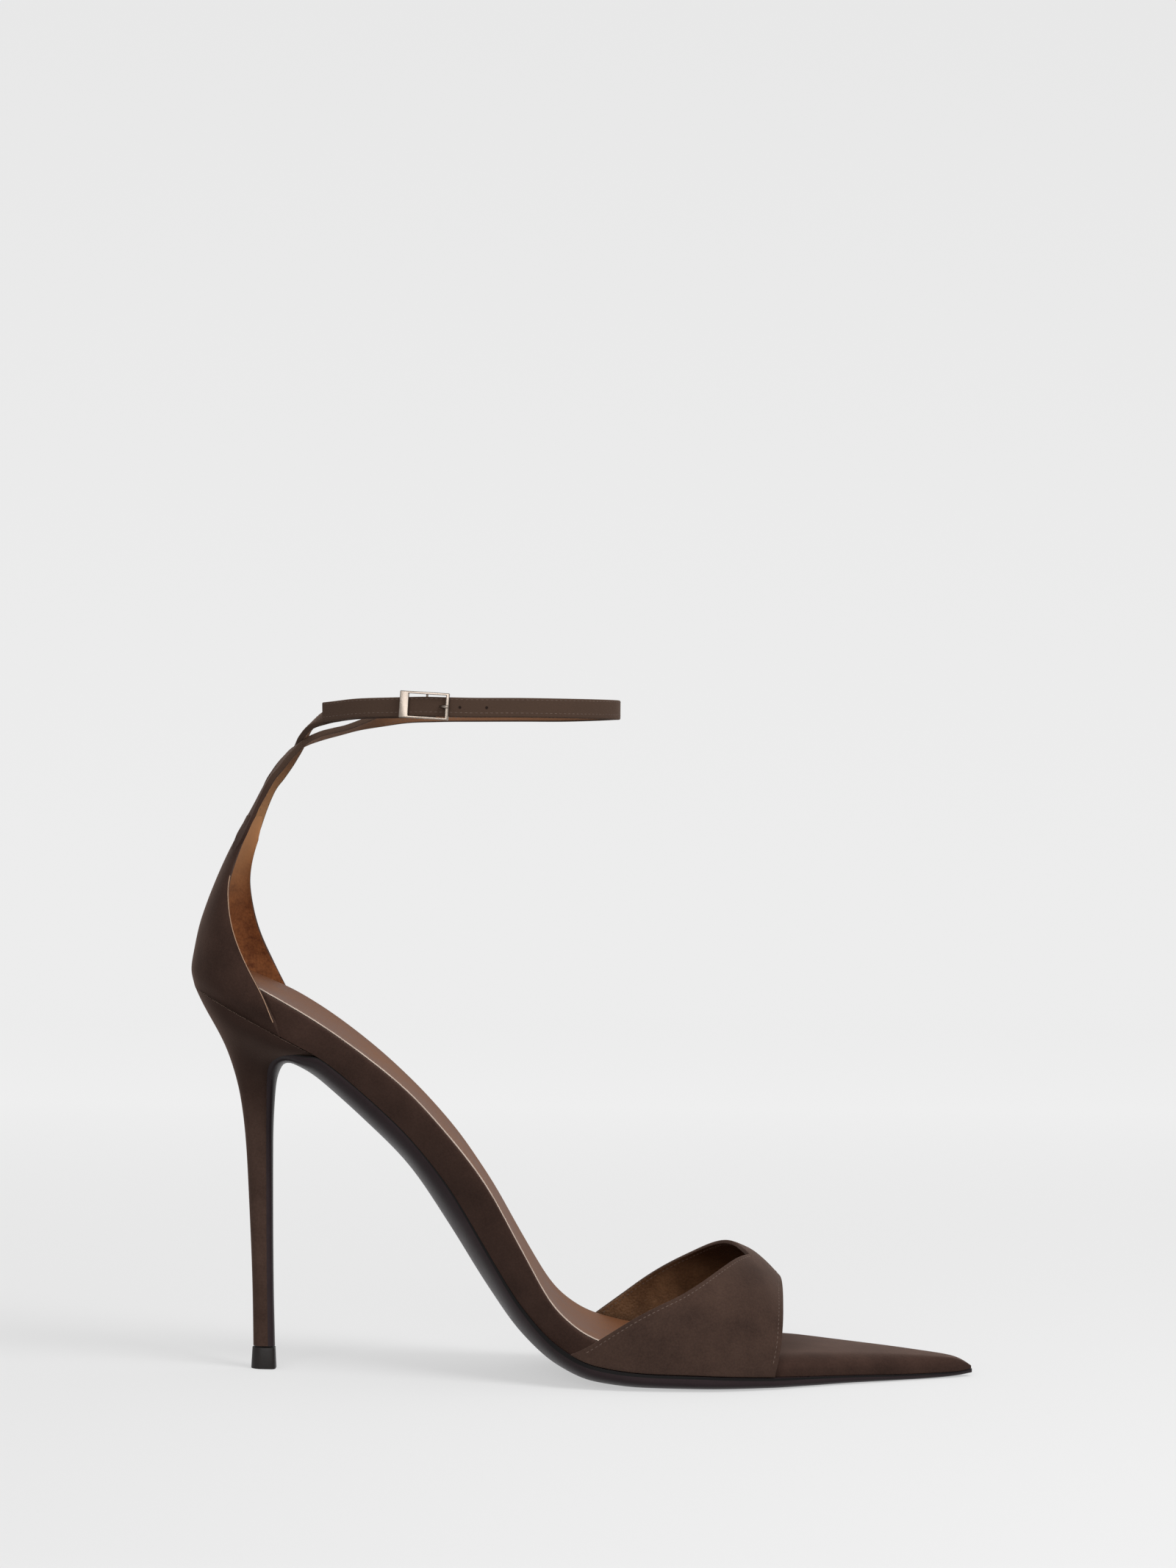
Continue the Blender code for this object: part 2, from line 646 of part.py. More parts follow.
def make_prong(parts):
    """The prong, from beside its bar through the strap's hole to the frame's end bar."""
    curve = bpy.data.curves.new("buckle_prong", "CURVE")
    curve.dimensions = "3D"
    curve.bevel_depth = PRONG_RADIUS * MM
    curve.bevel_resolution = 2
    curve.use_fill_caps = True
    points = route([(along, -out, 0.0) for along, out in PRONG], 2)
    spline = curve.splines.new("POLY")
    spline.points.add(len(points) - 1)
    for slot, point in zip(spline.points, points):
        slot.co = (point.x * MM, point.y * MM, 0.0, 1.0)
    obj = bpy.data.objects.new("buckle_prong", curve)
    parts.objects.link(obj)
    obj.matrix_world = buckle_matrix()
    return obj


def main():
    clear_scene()
    parts = new_collection("strap_sandal")
    cutters = new_collection("sandal_cutters")

    footbed = make_footbed(parts)
    paint(footbed, "rim_suede", SUEDE, 0.95)
    sock = make_sock(parts)
    paint(sock, "sock_leather", FOOTBED_LEATHER, 0.5)
    outsole = make_outsole(parts)
    paint(outsole, "sole_leather", SOLE_BLACK, 0.35)
    heel = make_heel(parts)
    paint(heel, "heel_suede", SUEDE, 0.95)
    tip = make_tip(parts)
    paint(tip, "tip_rubber", SOLE_BLACK, 0.5)

    vamp = make_vamp(parts)
    paint(vamp, "vamp_suede", SUEDE, 0.95)

    back = make_counter(parts)
    combine(back, make_strap("outer_strap", -1.0, OUTER_STRAP, cutters), "UNION", "MANIFOLD")
    combine(back, make_strap("inner_strap", 1.0, INNER_STRAP, cutters), "UNION", "MANIFOLD")
    slot = block(
        "prong_slot",
        (SLOT_FROM, -SLOT_REACH, -SLOT_HEIGHT / 2.0),
        (SLOT_TO, SLOT_REACH, SLOT_HEIGHT / 2.0), cutters,
    )
    combine(back, slot, "DIFFERENCE", "MANIFOLD")
    paint(back, "counter_suede", SUEDE, 0.95)

    frame = make_buckle(parts, cutters)
    paint(frame, "buckle_metal", METAL, 0.2, 1.0)
    prong = make_prong(parts)
    paint(prong, "prong_metal", METAL, 0.2, 1.0)


main()
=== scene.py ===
"""Strap sandal on a stiletto heel: the visible pieces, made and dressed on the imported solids.

Sizes are in millimetres. x runs from the back of the heel to the toe, -y is the outer side of
the foot and z is up from the floor, as in the part's own source; to_frame turns them into the
frame's metres.
"""
import logging
import math
from dataclasses import dataclass, replace
from enum import Enum
from typing import Callable, Iterable, Sequence

import bmesh
import bpy
import numpy as np
from mathutils import Matrix, Vector


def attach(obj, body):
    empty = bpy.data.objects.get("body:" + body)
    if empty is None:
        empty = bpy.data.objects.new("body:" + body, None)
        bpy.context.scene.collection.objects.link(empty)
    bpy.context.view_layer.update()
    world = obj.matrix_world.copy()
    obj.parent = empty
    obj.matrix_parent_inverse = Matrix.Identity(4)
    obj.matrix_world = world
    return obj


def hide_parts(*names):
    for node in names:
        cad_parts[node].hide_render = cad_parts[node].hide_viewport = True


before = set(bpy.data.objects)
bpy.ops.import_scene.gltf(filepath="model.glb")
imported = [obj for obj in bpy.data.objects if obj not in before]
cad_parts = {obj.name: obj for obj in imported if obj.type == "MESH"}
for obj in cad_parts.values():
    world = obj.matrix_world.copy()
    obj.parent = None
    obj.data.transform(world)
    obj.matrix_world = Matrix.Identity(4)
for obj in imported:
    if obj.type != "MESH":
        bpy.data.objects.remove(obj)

LOG = logging.getLogger("strap_sandal")
MM = 0.001
SHOE_MIDDLE = Vector((110.3, -6.6, 0.0))
# Edges sharper than these stay sharp in the shading, or are rounded off.
SMOOTH_ANGLE = math.radians(38.0)
CORNER_ANGLE = math.radians(55.0)
WELD = 1e-4
ROUTE_PARTS = 16
BEVEL_PARTS = 3

Row = tuple[float, ...]
Table = tuple[Row, ...]
Place = Callable[[float, float], Vector]
Dress = dict[str, bpy.types.Material]


class Slot(Enum):
    """The record's material slots."""

    RIM = "rim_suede"
    SOCK = "sock_leather"
    SOLE = "sole_leather"
    HEEL = "heel_suede"
    TIP = "tip_rubber"
    VAMP = "vamp_suede"
    COUNTER = "counter_suede"
    BUCKLE = "buckle_metal"
    PRONG = "prong_metal"


class Side(Enum):
    """Side of the foot, as the sign of y."""

    OUTER = -1.0
    INNER = 1.0


def hermite(t: float | np.ndarray) -> tuple[float | np.ndarray, ...]:
    """Shares of a cubic piece's start, of its slope there, of its end and of its slope there.

    Args:
        t: Place on the piece, from 0 to 1.

    Returns:
        The four shares.
    """
    return (
        2 * t ** 3 - 3 * t ** 2 + 1, t ** 3 - 2 * t ** 2 + t,
        3 * t ** 2 - 2 * t ** 3, t ** 3 - t ** 2,
    )


class FairCurve:
    """A smooth curve through the rows of a short table that doesn't overshoot them."""

    SAMPLES = 1500

    def __init__(self, places: Sequence[float], values: Sequence[float], window: float = 0.0) -> None:
        """Work the curve out once, finely sampled.

        Args:
            places: Where the rows are, rising.
            values: What the curve is at each row.
            window: Length over which the curve is averaged, for a fair surface.
        """
        xs = np.asarray(places, dtype=float)
        ys = np.asarray(values, dtype=float)
        step = np.diff(xs)
        rate = np.diff(ys) / step
        slope = np.zeros(len(xs))
        slope[0], slope[-1] = rate[0], rate[-1]
        for i in range(1, len(xs) - 1):
            if rate[i - 1] * rate[i] > 0.0:
                left = 2.0 * step[i] + step[i - 1]
                right = step[i] + 2.0 * step[i - 1]
                slope[i] = (left + right) / (left / rate[i - 1] + right / rate[i])
        self.xs = np.linspace(xs[0], xs[-1], self.SAMPLES)
        i = np.clip(np.searchsorted(xs, self.xs) - 1, 0, len(step) - 1)
        t = (self.xs - xs[i]) / step[i]
        start, leave, end, arrive = hermite(t)
        self.ys = (
            ys[i] * start + slope[i] * step[i] * leave
            + ys[i + 1] * end + slope[i + 1] * step[i] * arrive
        )
        if window > 0.0:
            self._average(round(window / 2.0 / (self.xs[1] - self.xs[0])))

    def _average(self, reach: int) -> None:
        """Average the samples twice over a reach to each side, keeping both ends.

        Args:
            reach: Number of samples to each side.
        """
        for _ in range(2):
            before = 2.0 * self.ys[0] - self.ys[reach:0:-1]
            after = 2.0 * self.ys[-1] - self.ys[-2:-reach - 2:-1]
            padded = np.concatenate((before, self.ys, after))
            self.ys = np.convolve(padded, np.full(2 * reach + 1, 1.0 / (2 * reach + 1)), "valid")

    def __call__(self, x: float) -> float:
        """Value at a place; past the ends it stays as it is there."""
        return float(np.interp(x, self.xs, self.ys))


def by_place(columns: str, rows: Table, window: float = 0.0) -> dict[str, FairCurve]:
    """Turn a table into curves of its first column.

    Args:
        columns: The columns' names, with spaces between.
        rows: The table.
        window: Length over which each curve is averaged.

    Returns:
        A curve for each column after the first.
    """
    names = columns.split()
    turned = list(zip(*rows))
    return {name: FairCurve(turned[0], turned[i], window) for i, name in enumerate(names) if i}


def by_number(columns: str, rows: Table, window: float = 0.0) -> dict[str, FairCurve]:
    """Turn a table into curves of the row's number.

    Args:
        columns: The columns' names, with spaces between.
        rows: The table.
        window: Number of rows over which each curve is averaged.

    Returns:
        A curve for each column.
    """
    turned = list(zip(*rows))
    numbers = range(len(rows))
    return {name: FairCurve(numbers, turned[i], window) for i, name in enumerate(columns.split())}


def to_frame(point: Vector) -> Vector:
    """Turn a point in the shoe's millimetres into the frame's metres."""
    return (point - SHOE_MIDDLE) * MM


def steps(low: float, high: float, parts: int) -> list[float]:
    """Even steps from low to high, both included."""
    return [low + (high - low) * i / parts for i in range(parts + 1)]


def signed_power(value: float, square: float) -> float:
    """Superellipse power of a sine or cosine that keeps its sign."""
    return math.copysign(abs(value) ** (2.0 / square), value)


def route(points: Sequence[Row], spacing: float) -> list[Vector]:
    """Lay a smooth route through a few points, at even steps.

    Args:
        points: The points, in order.
        spacing: Distance between the route's own points.

    Returns:
        Points on the route from the first to the last.
    """
    ends = [Vector(point) for point in points]
    fine: list[Vector] = []
    for i in range(len(ends) - 1):
        before, after = ends[max(i - 1, 0)], ends[min(i + 2, len(ends) - 1)]
        left, right = (ends[i + 1] - before) * 0.5, (after - ends[i]) * 0.5
        for t in steps(0.0, 1.0, ROUTE_PARTS)[:-1]:
            start, leave, end, arrive = hermite(t)
            fine.append(ends[i] * start + left * leave + ends[i + 1] * end + right * arrive)
    return even_steps(fine + [ends[-1]], spacing)


def lengths_along(line: np.ndarray) -> np.ndarray:
    """Distance of each point of a polyline from its start, along it."""
    return np.concatenate(([0.0], np.cumsum(np.linalg.norm(np.diff(line, axis=0), axis=1))))


def walk_along(length: np.ndarray, spacing: float) -> np.ndarray:
    """Even steps of about the spacing over a polyline with these distances."""
    return np.linspace(0.0, length[-1], max(2, round(length[-1] / spacing) + 1))


def even_steps(points: Sequence[Vector], spacing: float) -> list[Vector]:
    """Walk along a polyline at even steps.

    Args:
        points: The polyline; a fourth value of its points is carried along.
        spacing: About how long a step is.

    Returns:
        Points from the first to the last.
    """
    line = np.array([tuple(point) for point in points])
    length = lengths_along(line[:, :3])
    return [
        Vector(tuple(np.interp(s, length, column) for column in line.T))
        for s in walk_along(length, spacing)
    ]


def patch(
    us: Sequence[float], vs: Sequence[float], place: Place, ring: bool = False,
    finish: Callable[[int], int] | None = None,
) -> bmesh.types.BMesh:
    """Lay a grid of quads on a surface.

    Args:
        us: The surface's first value at each row.
        vs: The surface's second value at each column.
        place: Gives the surface's point for the two values.
        ring: Whether the first and last column meet; the two ends are then closed.
        finish: Gives the number of the material for a column of quads.

    Returns:
        The grid, in millimetres.
    """
    made = bmesh.new()
    rows, columns = len(us) - 1, len(vs) - 1
    bmesh.ops.create_grid(made, x_segments=rows, y_segments=columns, size=1.0)
    if finish:
        for face in made.faces:
            face.material_index = finish(int((face.calc_center_median().y + 1.0) * 0.5 * columns))
    for vert in made.verts:
        i = round((vert.co.x + 1.0) * 0.5 * rows)
        j = round((vert.co.y + 1.0) * 0.5 * columns)
        vert.co = place(us[i], vs[j])
    if ring:
        bmesh.ops.remove_doubles(made, verts=made.verts, dist=WELD)
        bmesh.ops.holes_fill(made, edges=[edge for edge in made.edges if edge.is_boundary], sides=0)
    bmesh.ops.recalc_face_normals(made, faces=made.faces)
    return made


def loft(
    rings: Sequence[Sequence[Vector]], spacing: float, finish: Callable[[int], int] | None = None,
) -> bmesh.types.BMesh:
    """Draw a closed skin smoothly through a row of rings.

    Args:
        rings: Closed rings with the same number of points, each starting at the same corner.
        spacing: Distance between the skin's own rings.
        finish: Number of the material by the ring's column.

    Returns:
        The skin with both ends closed, in millimetres.
    """
    coarse = np.array([[tuple(point) for point in ring] for ring in rings])
    length = lengths_along(coarse.mean(axis=1))
    walk = walk_along(length, spacing)
    count = coarse.shape[1]
    fine = np.empty((len(walk), count, 3))
    for j in range(count):
        for k in range(3):
            curve = FairCurve(length, coarse[:, j, k], 2.0 * spacing)
            fine[:, j, k] = np.interp(walk, curve.xs, curve.ys)
    return patch(
        range(len(walk)), range(count + 1), lambda u, v: Vector(fine[int(u), int(v) % count]), ring=True,
        finish=finish,
    )


def tube(points: Sequence[Vector], radius: float, guide: Row, sides: int = 12) -> bmesh.types.BMesh:
    """Draw a round wire along a route, with closed ends.

    Args:
        points: The route.
        radius: The wire's radius.
        guide: A direction that the route never runs in.
        sides: Number of faces round the wire.

    Returns:
        The wire, in millimetres.
    """
    count = len(points)
    frames = []
    for i in range(count):
        along = (points[min(i + 1, count - 1)] - points[max(i - 1, 0)]).normalized()
        first = along.cross(Vector(guide)).normalized()
        frames.append((first, along.cross(first)))

    def place(u: float, v: float) -> Vector:
        """Point of the wire's skin at a route point and an angle."""
        first, second = frames[int(u)]
        return points[int(u)] + (first * math.cos(v) + second * math.sin(v)) * radius

    return patch(range(count), steps(0.0, 2.0 * math.pi, sides), place, ring=True)


def pull(
    made: bmesh.types.BMesh, faces: Sequence[bmesh.types.BMFace], way: Row,
) -> list[bmesh.types.BMVert]:
    """Extrude faces.

    Args:
        made: The bmesh that has the faces.
        faces: The faces.
        way: How far they are moved, and in which direction.

    Returns:
        The corners that have moved.
    """
    grown = bmesh.ops.extrude_face_region(made, geom=faces)
    moved = [item for item in grown["geom"] if isinstance(item, bmesh.types.BMVert)]
    bmesh.ops.translate(made, vec=way, verts=moved)
    return moved


def round_off(made: bmesh.types.BMesh, edges: Sequence[bmesh.types.BMEdge], width: float) -> None:
    """Round edges off over a width."""
    bmesh.ops.bevel(
        made, geom=edges, offset=width, segments=BEVEL_PARTS, profile=0.5, affect="EDGES", material=-1,
    )


def face_outwards(made: bmesh.types.BMesh, middle: Row) -> None:
    """Turn an open sheet's faces away from a point inside it.

    Args:
        made: The sheet.
        middle: The point.
    """
    made.normal_update()
    inside = Vector(middle)
    total = sum(
        face.normal.dot(face.calc_center_median() - inside) * face.calc_area() for face in made.faces
    )
    if total < 0.0:
        bmesh.ops.reverse_faces(made, faces=made.faces)


def mesh_of(name: str, source: bmesh.types.BMesh) -> bpy.types.Mesh:
    """Turn a bmesh into a mesh.

    Args:
        name: The mesh's name.
        source: The bmesh, which is used up.

    Returns:
        The mesh.
    """
    mesh = bpy.data.meshes.new(name)
    source.to_mesh(mesh)
    source.free()
    return mesh


def pick(dress: Dress, *names: str) -> list[bpy.types.Material]:
    """The materials with these names, in order."""
    return [dress[name] for name in names]


def add_piece(
    name: str, source: bmesh.types.BMesh, dress: Sequence[bpy.types.Material], slot: Slot,
    stands_for: Iterable[str] = (),
) -> bpy.types.Object:
    """Turn a bmesh in millimetres into a finished piece that rides on the shoe.

    Args:
        name: The piece's name.
        source: The bmesh, which is used up.
        dress: The piece's materials, in the order of the faces' own numbers.
        slot: The record's slot that the finish belongs to; not used.
        stands_for: The solids that the piece takes the place of.

    Returns:
        The piece.
    """
    for vert in source.verts:
        vert.co = to_frame(vert.co)
    mesh = mesh_of(name, source)
    for material in dress:
        mesh.materials.append(material)
    mesh.shade_smooth()
    mesh.set_sharp_from_angle(angle=SMOOTH_ANGLE)
    piece = bpy.data.objects.new(name, mesh)
    bpy.context.scene.collection.objects.link(piece)
    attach(piece, "root")
    if stands_for:
        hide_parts(*stands_for)
    LOG.info("%s: %d faces", name, len(mesh.polygons))
    return piece


def thicken(piece: bpy.types.Object, wall: float, round_edge: float) -> None:
    """Give a sheet its wall inwards, its lining, its cut edge and softly rounded corners.

    Args:
        piece: The sheet, with its outside, lining and cut edge as its three materials.
        wall: Thickness in millimetres.
        round_edge: Width of the rounded corners in millimetres.
    """
    solid = piece.modifiers.new("wall", "SOLIDIFY")
    solid.thickness = wall * MM
    solid.offset = -1.0
    solid.use_even_offset = True
    solid.material_offset = 1
    solid.material_offset_rim = 2
    corner = piece.modifiers.new("rounded_edge", "BEVEL")
    corner.width = round_edge * MM
    corner.segments = 2
    corner.limit_method = "ANGLE"
    corner.angle_limit = CORNER_ANGLE


def linear(code: str) -> Row:
    """Turn an sRGB colour into a linear one.

    Args:
        code: The colour as # and six hex digits.

    Returns:
        Red, green, blue and full alpha.
    """
    made = []
    for i in (1, 3, 5):
        value = int(code[i:i + 2], 16) / 255.0
        made.append(value / 12.92 if value <= 0.04045 else ((value + 0.055) / 1.055) ** 2.4)
    return (*made, 1.0)


def add_node(
    tree: bpy.types.NodeTree, kind: str, links: dict[str, object], **settings: object,
) -> bpy.types.Node:
    """Add a node with its settings, values and links.

    Args:
        tree: The material's nodes.
        kind: The node's type.
        links: For each input's name, a socket to link to it or a value to set on it.
        **settings: The node's own properties.

    Returns:
        The node.
    """
    made = tree.nodes.new(kind)
    for name, value in settings.items():
        setattr(made, name, value)
    for name, value in links.items():
        if isinstance(value, bpy.types.NodeSocket):
            tree.links.new(value, made.inputs[name])
        else:
            made.inputs[name].default_value = value
    return made


def grain_scale(size_mm: float) -> float:
    """Scale of a texture on metres whose spots are about the given size."""
    return 1.0 / (size_mm * MM)


# A colour mix's sockets go by number, because each kind of value has its own set of the same names.
MIX_SHARE, MIX_FIRST, MIX_RESULT = 0, 6, 2
# The part of a noise's range that its values fill, for the colour and for the gloss.
COLOUR_BAND = (0.32, 0.68)
GLOSS_BAND = (0.3, 0.7)


@dataclass(frozen=True)
class Finish:
    """What every finish has: a name, its deep and pale colours and the gloss of its surface.

    A broad noise moves the colour between deep and pale, and a fine one makes the grain.
    """

    name: str
    deep: str
    pale: str
    patch_mm: float
    grain_mm: float
    grain_depth_mm: float
    grain_tint: float = 0.35
    roughness: float = 0.6
    gloss_spread: float = 0.0
    specular: float = 0.5
    metallic: float = 0.0
    sheen: float = 0.0
    sheen_roughness: float = 0.5
    sheen_tint: str = "#ffffff"

    def material(self) -> bpy.types.Material:
        """Make the finish's nodes.

        Returns:
            The material.
        """
        made = bpy.data.materials.new(self.name)
        made.use_nodes = True
        tree = made.node_tree
        shader = tree.nodes["Principled BSDF"]
        for name, value in (
            ("Metallic", self.metallic), ("Roughness", self.roughness),
            ("Specular IOR Level", self.specular), ("Sheen Weight", self.sheen),
            ("Sheen Roughness", self.sheen_roughness), ("Sheen Tint", linear(self.sheen_tint)),
        ):
            shader.inputs[name].default_value = value
        where = add_node(tree, "ShaderNodeTexCoord", {}).outputs["Object"]
        broad = add_node(
            tree, "ShaderNodeTexNoise",
            {"Vector": where, "Scale": grain_scale(self.patch_mm), "Detail": 3.0, "Roughness": 0.55},
        ).outputs["Fac"]
        fine = self.grain(tree, where)
        mixed = add_node(
            tree, "ShaderNodeMix", {"Factor": self.grain_tint, "A": broad, "B": fine}, data_type="FLOAT",
        ).outputs["Result"]
        spread = add_node(
            tree, "ShaderNodeMapRange",
            {"Value": mixed, "From Min": COLOUR_BAND[0], "From Max": COLOUR_BAND[1],
             "To Min": 0.0, "To Max": 1.0},
        ).outputs["Result"]
        colour = add_node(
            tree, "ShaderNodeMix", {"A": linear(self.deep), "B": linear(self.pale)}, data_type="RGBA",
        )
        self.link_colour(tree, colour, spread, shader)
        if self.gloss_spread > 0.0:
            rough = add_node(
                tree, "ShaderNodeMapRange",
                {"Value": mixed, "From Min": GLOSS_BAND[0], "From Max": GLOSS_BAND[1],
                 "To Min": self.roughness - self.gloss_spread,
                 "To Max": self.roughness + self.gloss_spread},
            )
            tree.links.new(rough.outputs["Result"], shader.inputs["Roughness"])
        bump = add_node(
            tree, "ShaderNodeBump",
            {"Height": fine, "Strength": 1.0, "Distance": self.grain_depth_mm * MM},
        )
        tree.links.new(bump.outputs["Normal"], shader.inputs["Normal"])
        return made

    def link_colour(
        self, tree: bpy.types.NodeTree, colour: bpy.types.Node, spread: bpy.types.NodeSocket,
        shader: bpy.types.Node,
    ) -> None:
        """Let the noise choose between the deep and the pale colour.

        Args:
            tree: The material's nodes.
            colour: The mix of deep and pale.
            spread: The noise, from 0 to 1.
            shader: The material's shader.
        """
        tree.links.new(spread, colour.inputs[MIX_SHARE])
        tree.links.new(colour.outputs[MIX_RESULT], shader.inputs["Base Color"])

    def grain(self, tree: bpy.types.NodeTree, where: bpy.types.NodeSocket) -> bpy.types.NodeSocket:
        """Make the fine grain, a plain noise unless the finish has its own.

        Args:
            tree: The material's nodes.
            where: Object coordinates.

        Returns:
            The grain's height.
        """
        return add_node(
            tree, "ShaderNodeTexNoise",
            {"Vector": where, "Scale": grain_scale(self.grain_mm), "Detail": 4.0, "Roughness": 0.6},
        ).outputs["Fac"]


@dataclass(frozen=True)
class Pebbled(Finish):
    """Leather with its own grain: small rounded cells with furrows between them."""

    def grain(self, tree: bpy.types.NodeTree, where: bpy.types.NodeSocket) -> bpy.types.NodeSocket:
        """Make the grain's cells.

        Args:
            tree: The material's nodes.
            where: Object coordinates.

        Returns:
            The distance from the middle of a cell.
        """
        return add_node(
            tree, "ShaderNodeTexVoronoi",
            {"Vector": where, "Scale": grain_scale(self.grain_mm), "Smoothness": 0.4},
            feature="SMOOTH_F1",
        ).outputs["Distance"]


@dataclass(frozen=True)
class Graded(Finish):
    """A finish that turns into another colour higher up on the shoe."""

    upper: str = "#ffffff"
    from_mm: float = 0.0
    to_mm: float = 1.0
    share: float = 0.75

    # The upper colour mixed in by height is painted light and painted shade.
    def link_colour(
        self, tree: bpy.types.NodeTree, colour: bpy.types.Node, spread: bpy.types.NodeSocket,
        shader: bpy.types.Node,
    ) -> None:
        """Let the noise choose the colour low down, and the height mix in the upper colour.

        Args:
            tree: The material's nodes.
            colour: The mix of deep and pale.
            spread: The noise, from 0 to 1.
            shader: The material's shader.
        """
        tree.links.new(spread, colour.inputs[MIX_SHARE])
        where = add_node(tree, "ShaderNodeTexCoord", {}).outputs["Object"]
        height = add_node(tree, "ShaderNodeSeparateXYZ", {"Vector": where}).outputs["Z"]
        risen = add_node(
            tree, "ShaderNodeMapRange",
            {"Value": height, "From Min": self.from_mm * MM, "From Max": self.to_mm * MM,
             "To Max": self.share},
            interpolation_type="SMOOTHSTEP",
        ).outputs["Result"]
        mixed = add_node(tree, "ShaderNodeMix", {"B": linear(self.upper)}, data_type="RGBA")
        tree.links.new(risen, mixed.inputs[MIX_SHARE])
        tree.links.new(colour.outputs[MIX_RESULT], mixed.inputs[MIX_FIRST])
        tree.links.new(mixed.outputs[MIX_RESULT], shader.inputs["Base Color"])


@dataclass(frozen=True)
class GradedPebbled(Graded, Pebbled):
    """Grained leather that turns into another colour higher up on the shoe."""


# Suede is split leather buffed to a short nap: dead matt, mottled where the nap lies over, paler at
# a glancing angle. Its nap of about 0.1 mm is drawn at 0.6 mm, so that it shows.
SUEDE_NAP = {
    "grain_mm": 0.6, "grain_tint": 0.4, "roughness": 0.95, "specular": 0.12, "sheen": 0.25,
    "sheen_roughness": 0.45, "sheen_tint": "#c8a898",
}
# Split lining is matt with a faint bloom. Its fibres of about 0.1 mm are drawn at 0.7 mm.
LINING_NAP = {
    "grain_mm": 0.7, "grain_tint": 0.45, "roughness": 0.8, "specular": 0.25, "sheen": 0.15,
    "sheen_tint": "#e0b090",
}


@dataclass(frozen=True)
class Wardrobe:
    """All the finishes of the shoe."""

    # Suede of the toe band, the palest copy: painted light where it faces the lamps above.
    suede: Finish = Finish(
        "dark_brown_suede", "#2e211c", "#45342c", patch_mm=11.0, grain_depth_mm=0.07, **SUEDE_NAP,
    )
    # The same suede wrapped round the footbed and on the counter, in darker copies that are painted shade.
    rim_suede: Finish = replace(suede, name="dark_brown_suede_rim", deep="#2b1d18", pale="#3f2d26")
    counter_suede: Finish = replace(
        suede, name="dark_brown_suede_counter", deep="#2a1c17", pale="#3e2c25",
    )
    # On the heel it is paler down the stem as painted light, and as dark as the counter at the seat as
    # painted shade.
    heel_suede: Finish = Graded(
        "dark_brown_suede_heel", "#34251f", "#4a3830", patch_mm=9.0, grain_depth_mm=0.06, **SUEDE_NAP,
        upper="#2b1c17", from_mm=62.0, to_mm=92.0,
    )
    # On the straps it starts as dark as the counter and turns paler towards the ankle, as painted light from
    # the lamps above.
    strap_suede: Finish = Graded(
        "dark_brown_suede_strap", "#2a1c17", "#3e2c25", patch_mm=11.0, grain_depth_mm=0.07, **SUEDE_NAP,
        upper="#49392f", from_mm=154.0, to_mm=174.0, share=0.8,
    )
    # Tan split lining inside the counter: mottled, darker low down as painted shade and even and pale at the
    # top as painted light.
    tan_lining: Finish = Graded(
        "tan_split_lining", "#57290f", "#92582f", patch_mm=4.0, grain_depth_mm=0.1, **LINING_NAP,
        upper="#c18a5c", from_mm=126.0, to_mm=152.0, share=0.85,
    )
    # The same lining inside the straps: pale at the counter as painted light, darker brown round the ankle as
    # painted shade.
    strap_lining: Finish = Graded(
        "brown_split_lining", "#a4734a", "#b98657", patch_mm=6.0, grain_depth_mm=0.08, **LINING_NAP,
        upper="#6a4731", from_mm=156.0, to_mm=174.0, share=0.9,
    )
    # Lining of the toe band: fine grained calf with a bronze lustre, darker higher up as painted shade.
    bronze_lining: Finish = GradedPebbled(
        "bronze_calf_lining", "#47301f", "#6b4c33", patch_mm=7.0, grain_mm=0.6, grain_depth_mm=0.1,
        grain_tint=0.2, roughness=0.42, gloss_spread=0.1, specular=0.35, metallic=0.15,
        upper="#2a170c", from_mm=19.0, to_mm=33.0, share=0.9,
    )
    # Sock: drum-dyed calf, smooth and lightly finished, faintly creased.
    sock_calf: Finish = Pebbled(
        "smooth_calf_sock", "#643f2a", "#774f34", patch_mm=18.0, grain_mm=0.7, grain_depth_mm=0.04,
        grain_tint=0.25, roughness=0.55, gloss_spread=0.06, specular=0.1,
    )
    # Skived edge of the sock: pale and matt.
    cream_edge: Finish = Finish(
        "pale_skived_edge", "#b09c8e", "#d0beb0", patch_mm=6.0, grain_mm=0.5, grain_depth_mm=0.05,
        roughness=0.6,
    )
    # Cut edge of the counter's lining, fine and tan.
    lining_edge: Finish = Finish(
        "tan_cut_edge", "#8d6c55", "#ad8d74", patch_mm=5.0, grain_mm=0.5, grain_depth_mm=0.03,
        roughness=0.7, specular=0.3,
    )
    # Outsole: black leather, sanded, dyed and polished with wax.
    black_sole: Finish = Finish(
        "waxed_black_sole_leather", "#241b1d", "#2f2527", patch_mm=16.0, grain_mm=0.8,
        grain_depth_mm=0.03, grain_tint=0.3, roughness=0.4, gloss_spread=0.07, specular=0.12,
    )
    # Edge of the outsole: trimmed square and inked black, the band drawn as deep as the shaded side face, so
    # partly painted shade.
    inked_and_shaded_edge: Finish = Finish(
        "black_edge_ink_and_painted_shade", "#080606", "#0f0c0c", patch_mm=9.0, grain_mm=0.6, grain_depth_mm=0.02,
        roughness=0.5, specular=0.15,
    )
    # Top piece of the heel: hard rubber, moulded, satin.
    black_rubber: Finish = Finish(
        "hard_black_rubber", "#15110f", "#1f1a18", patch_mm=5.0, grain_mm=0.6, grain_depth_mm=0.04,
        roughness=0.5, gloss_spread=0.08, specular=0.25,
    )
    # Buckle: polished plated zinc; fine wiping marks spread its gloss a little.
    plated_zinc: Finish = Finish(
        "polished_plated_zinc", "#857a70", "#a0958b", patch_mm=3.0, grain_mm=0.4,
        grain_depth_mm=0.006, roughness=0.3, gloss_spread=0.06, metallic=1.0,
    )
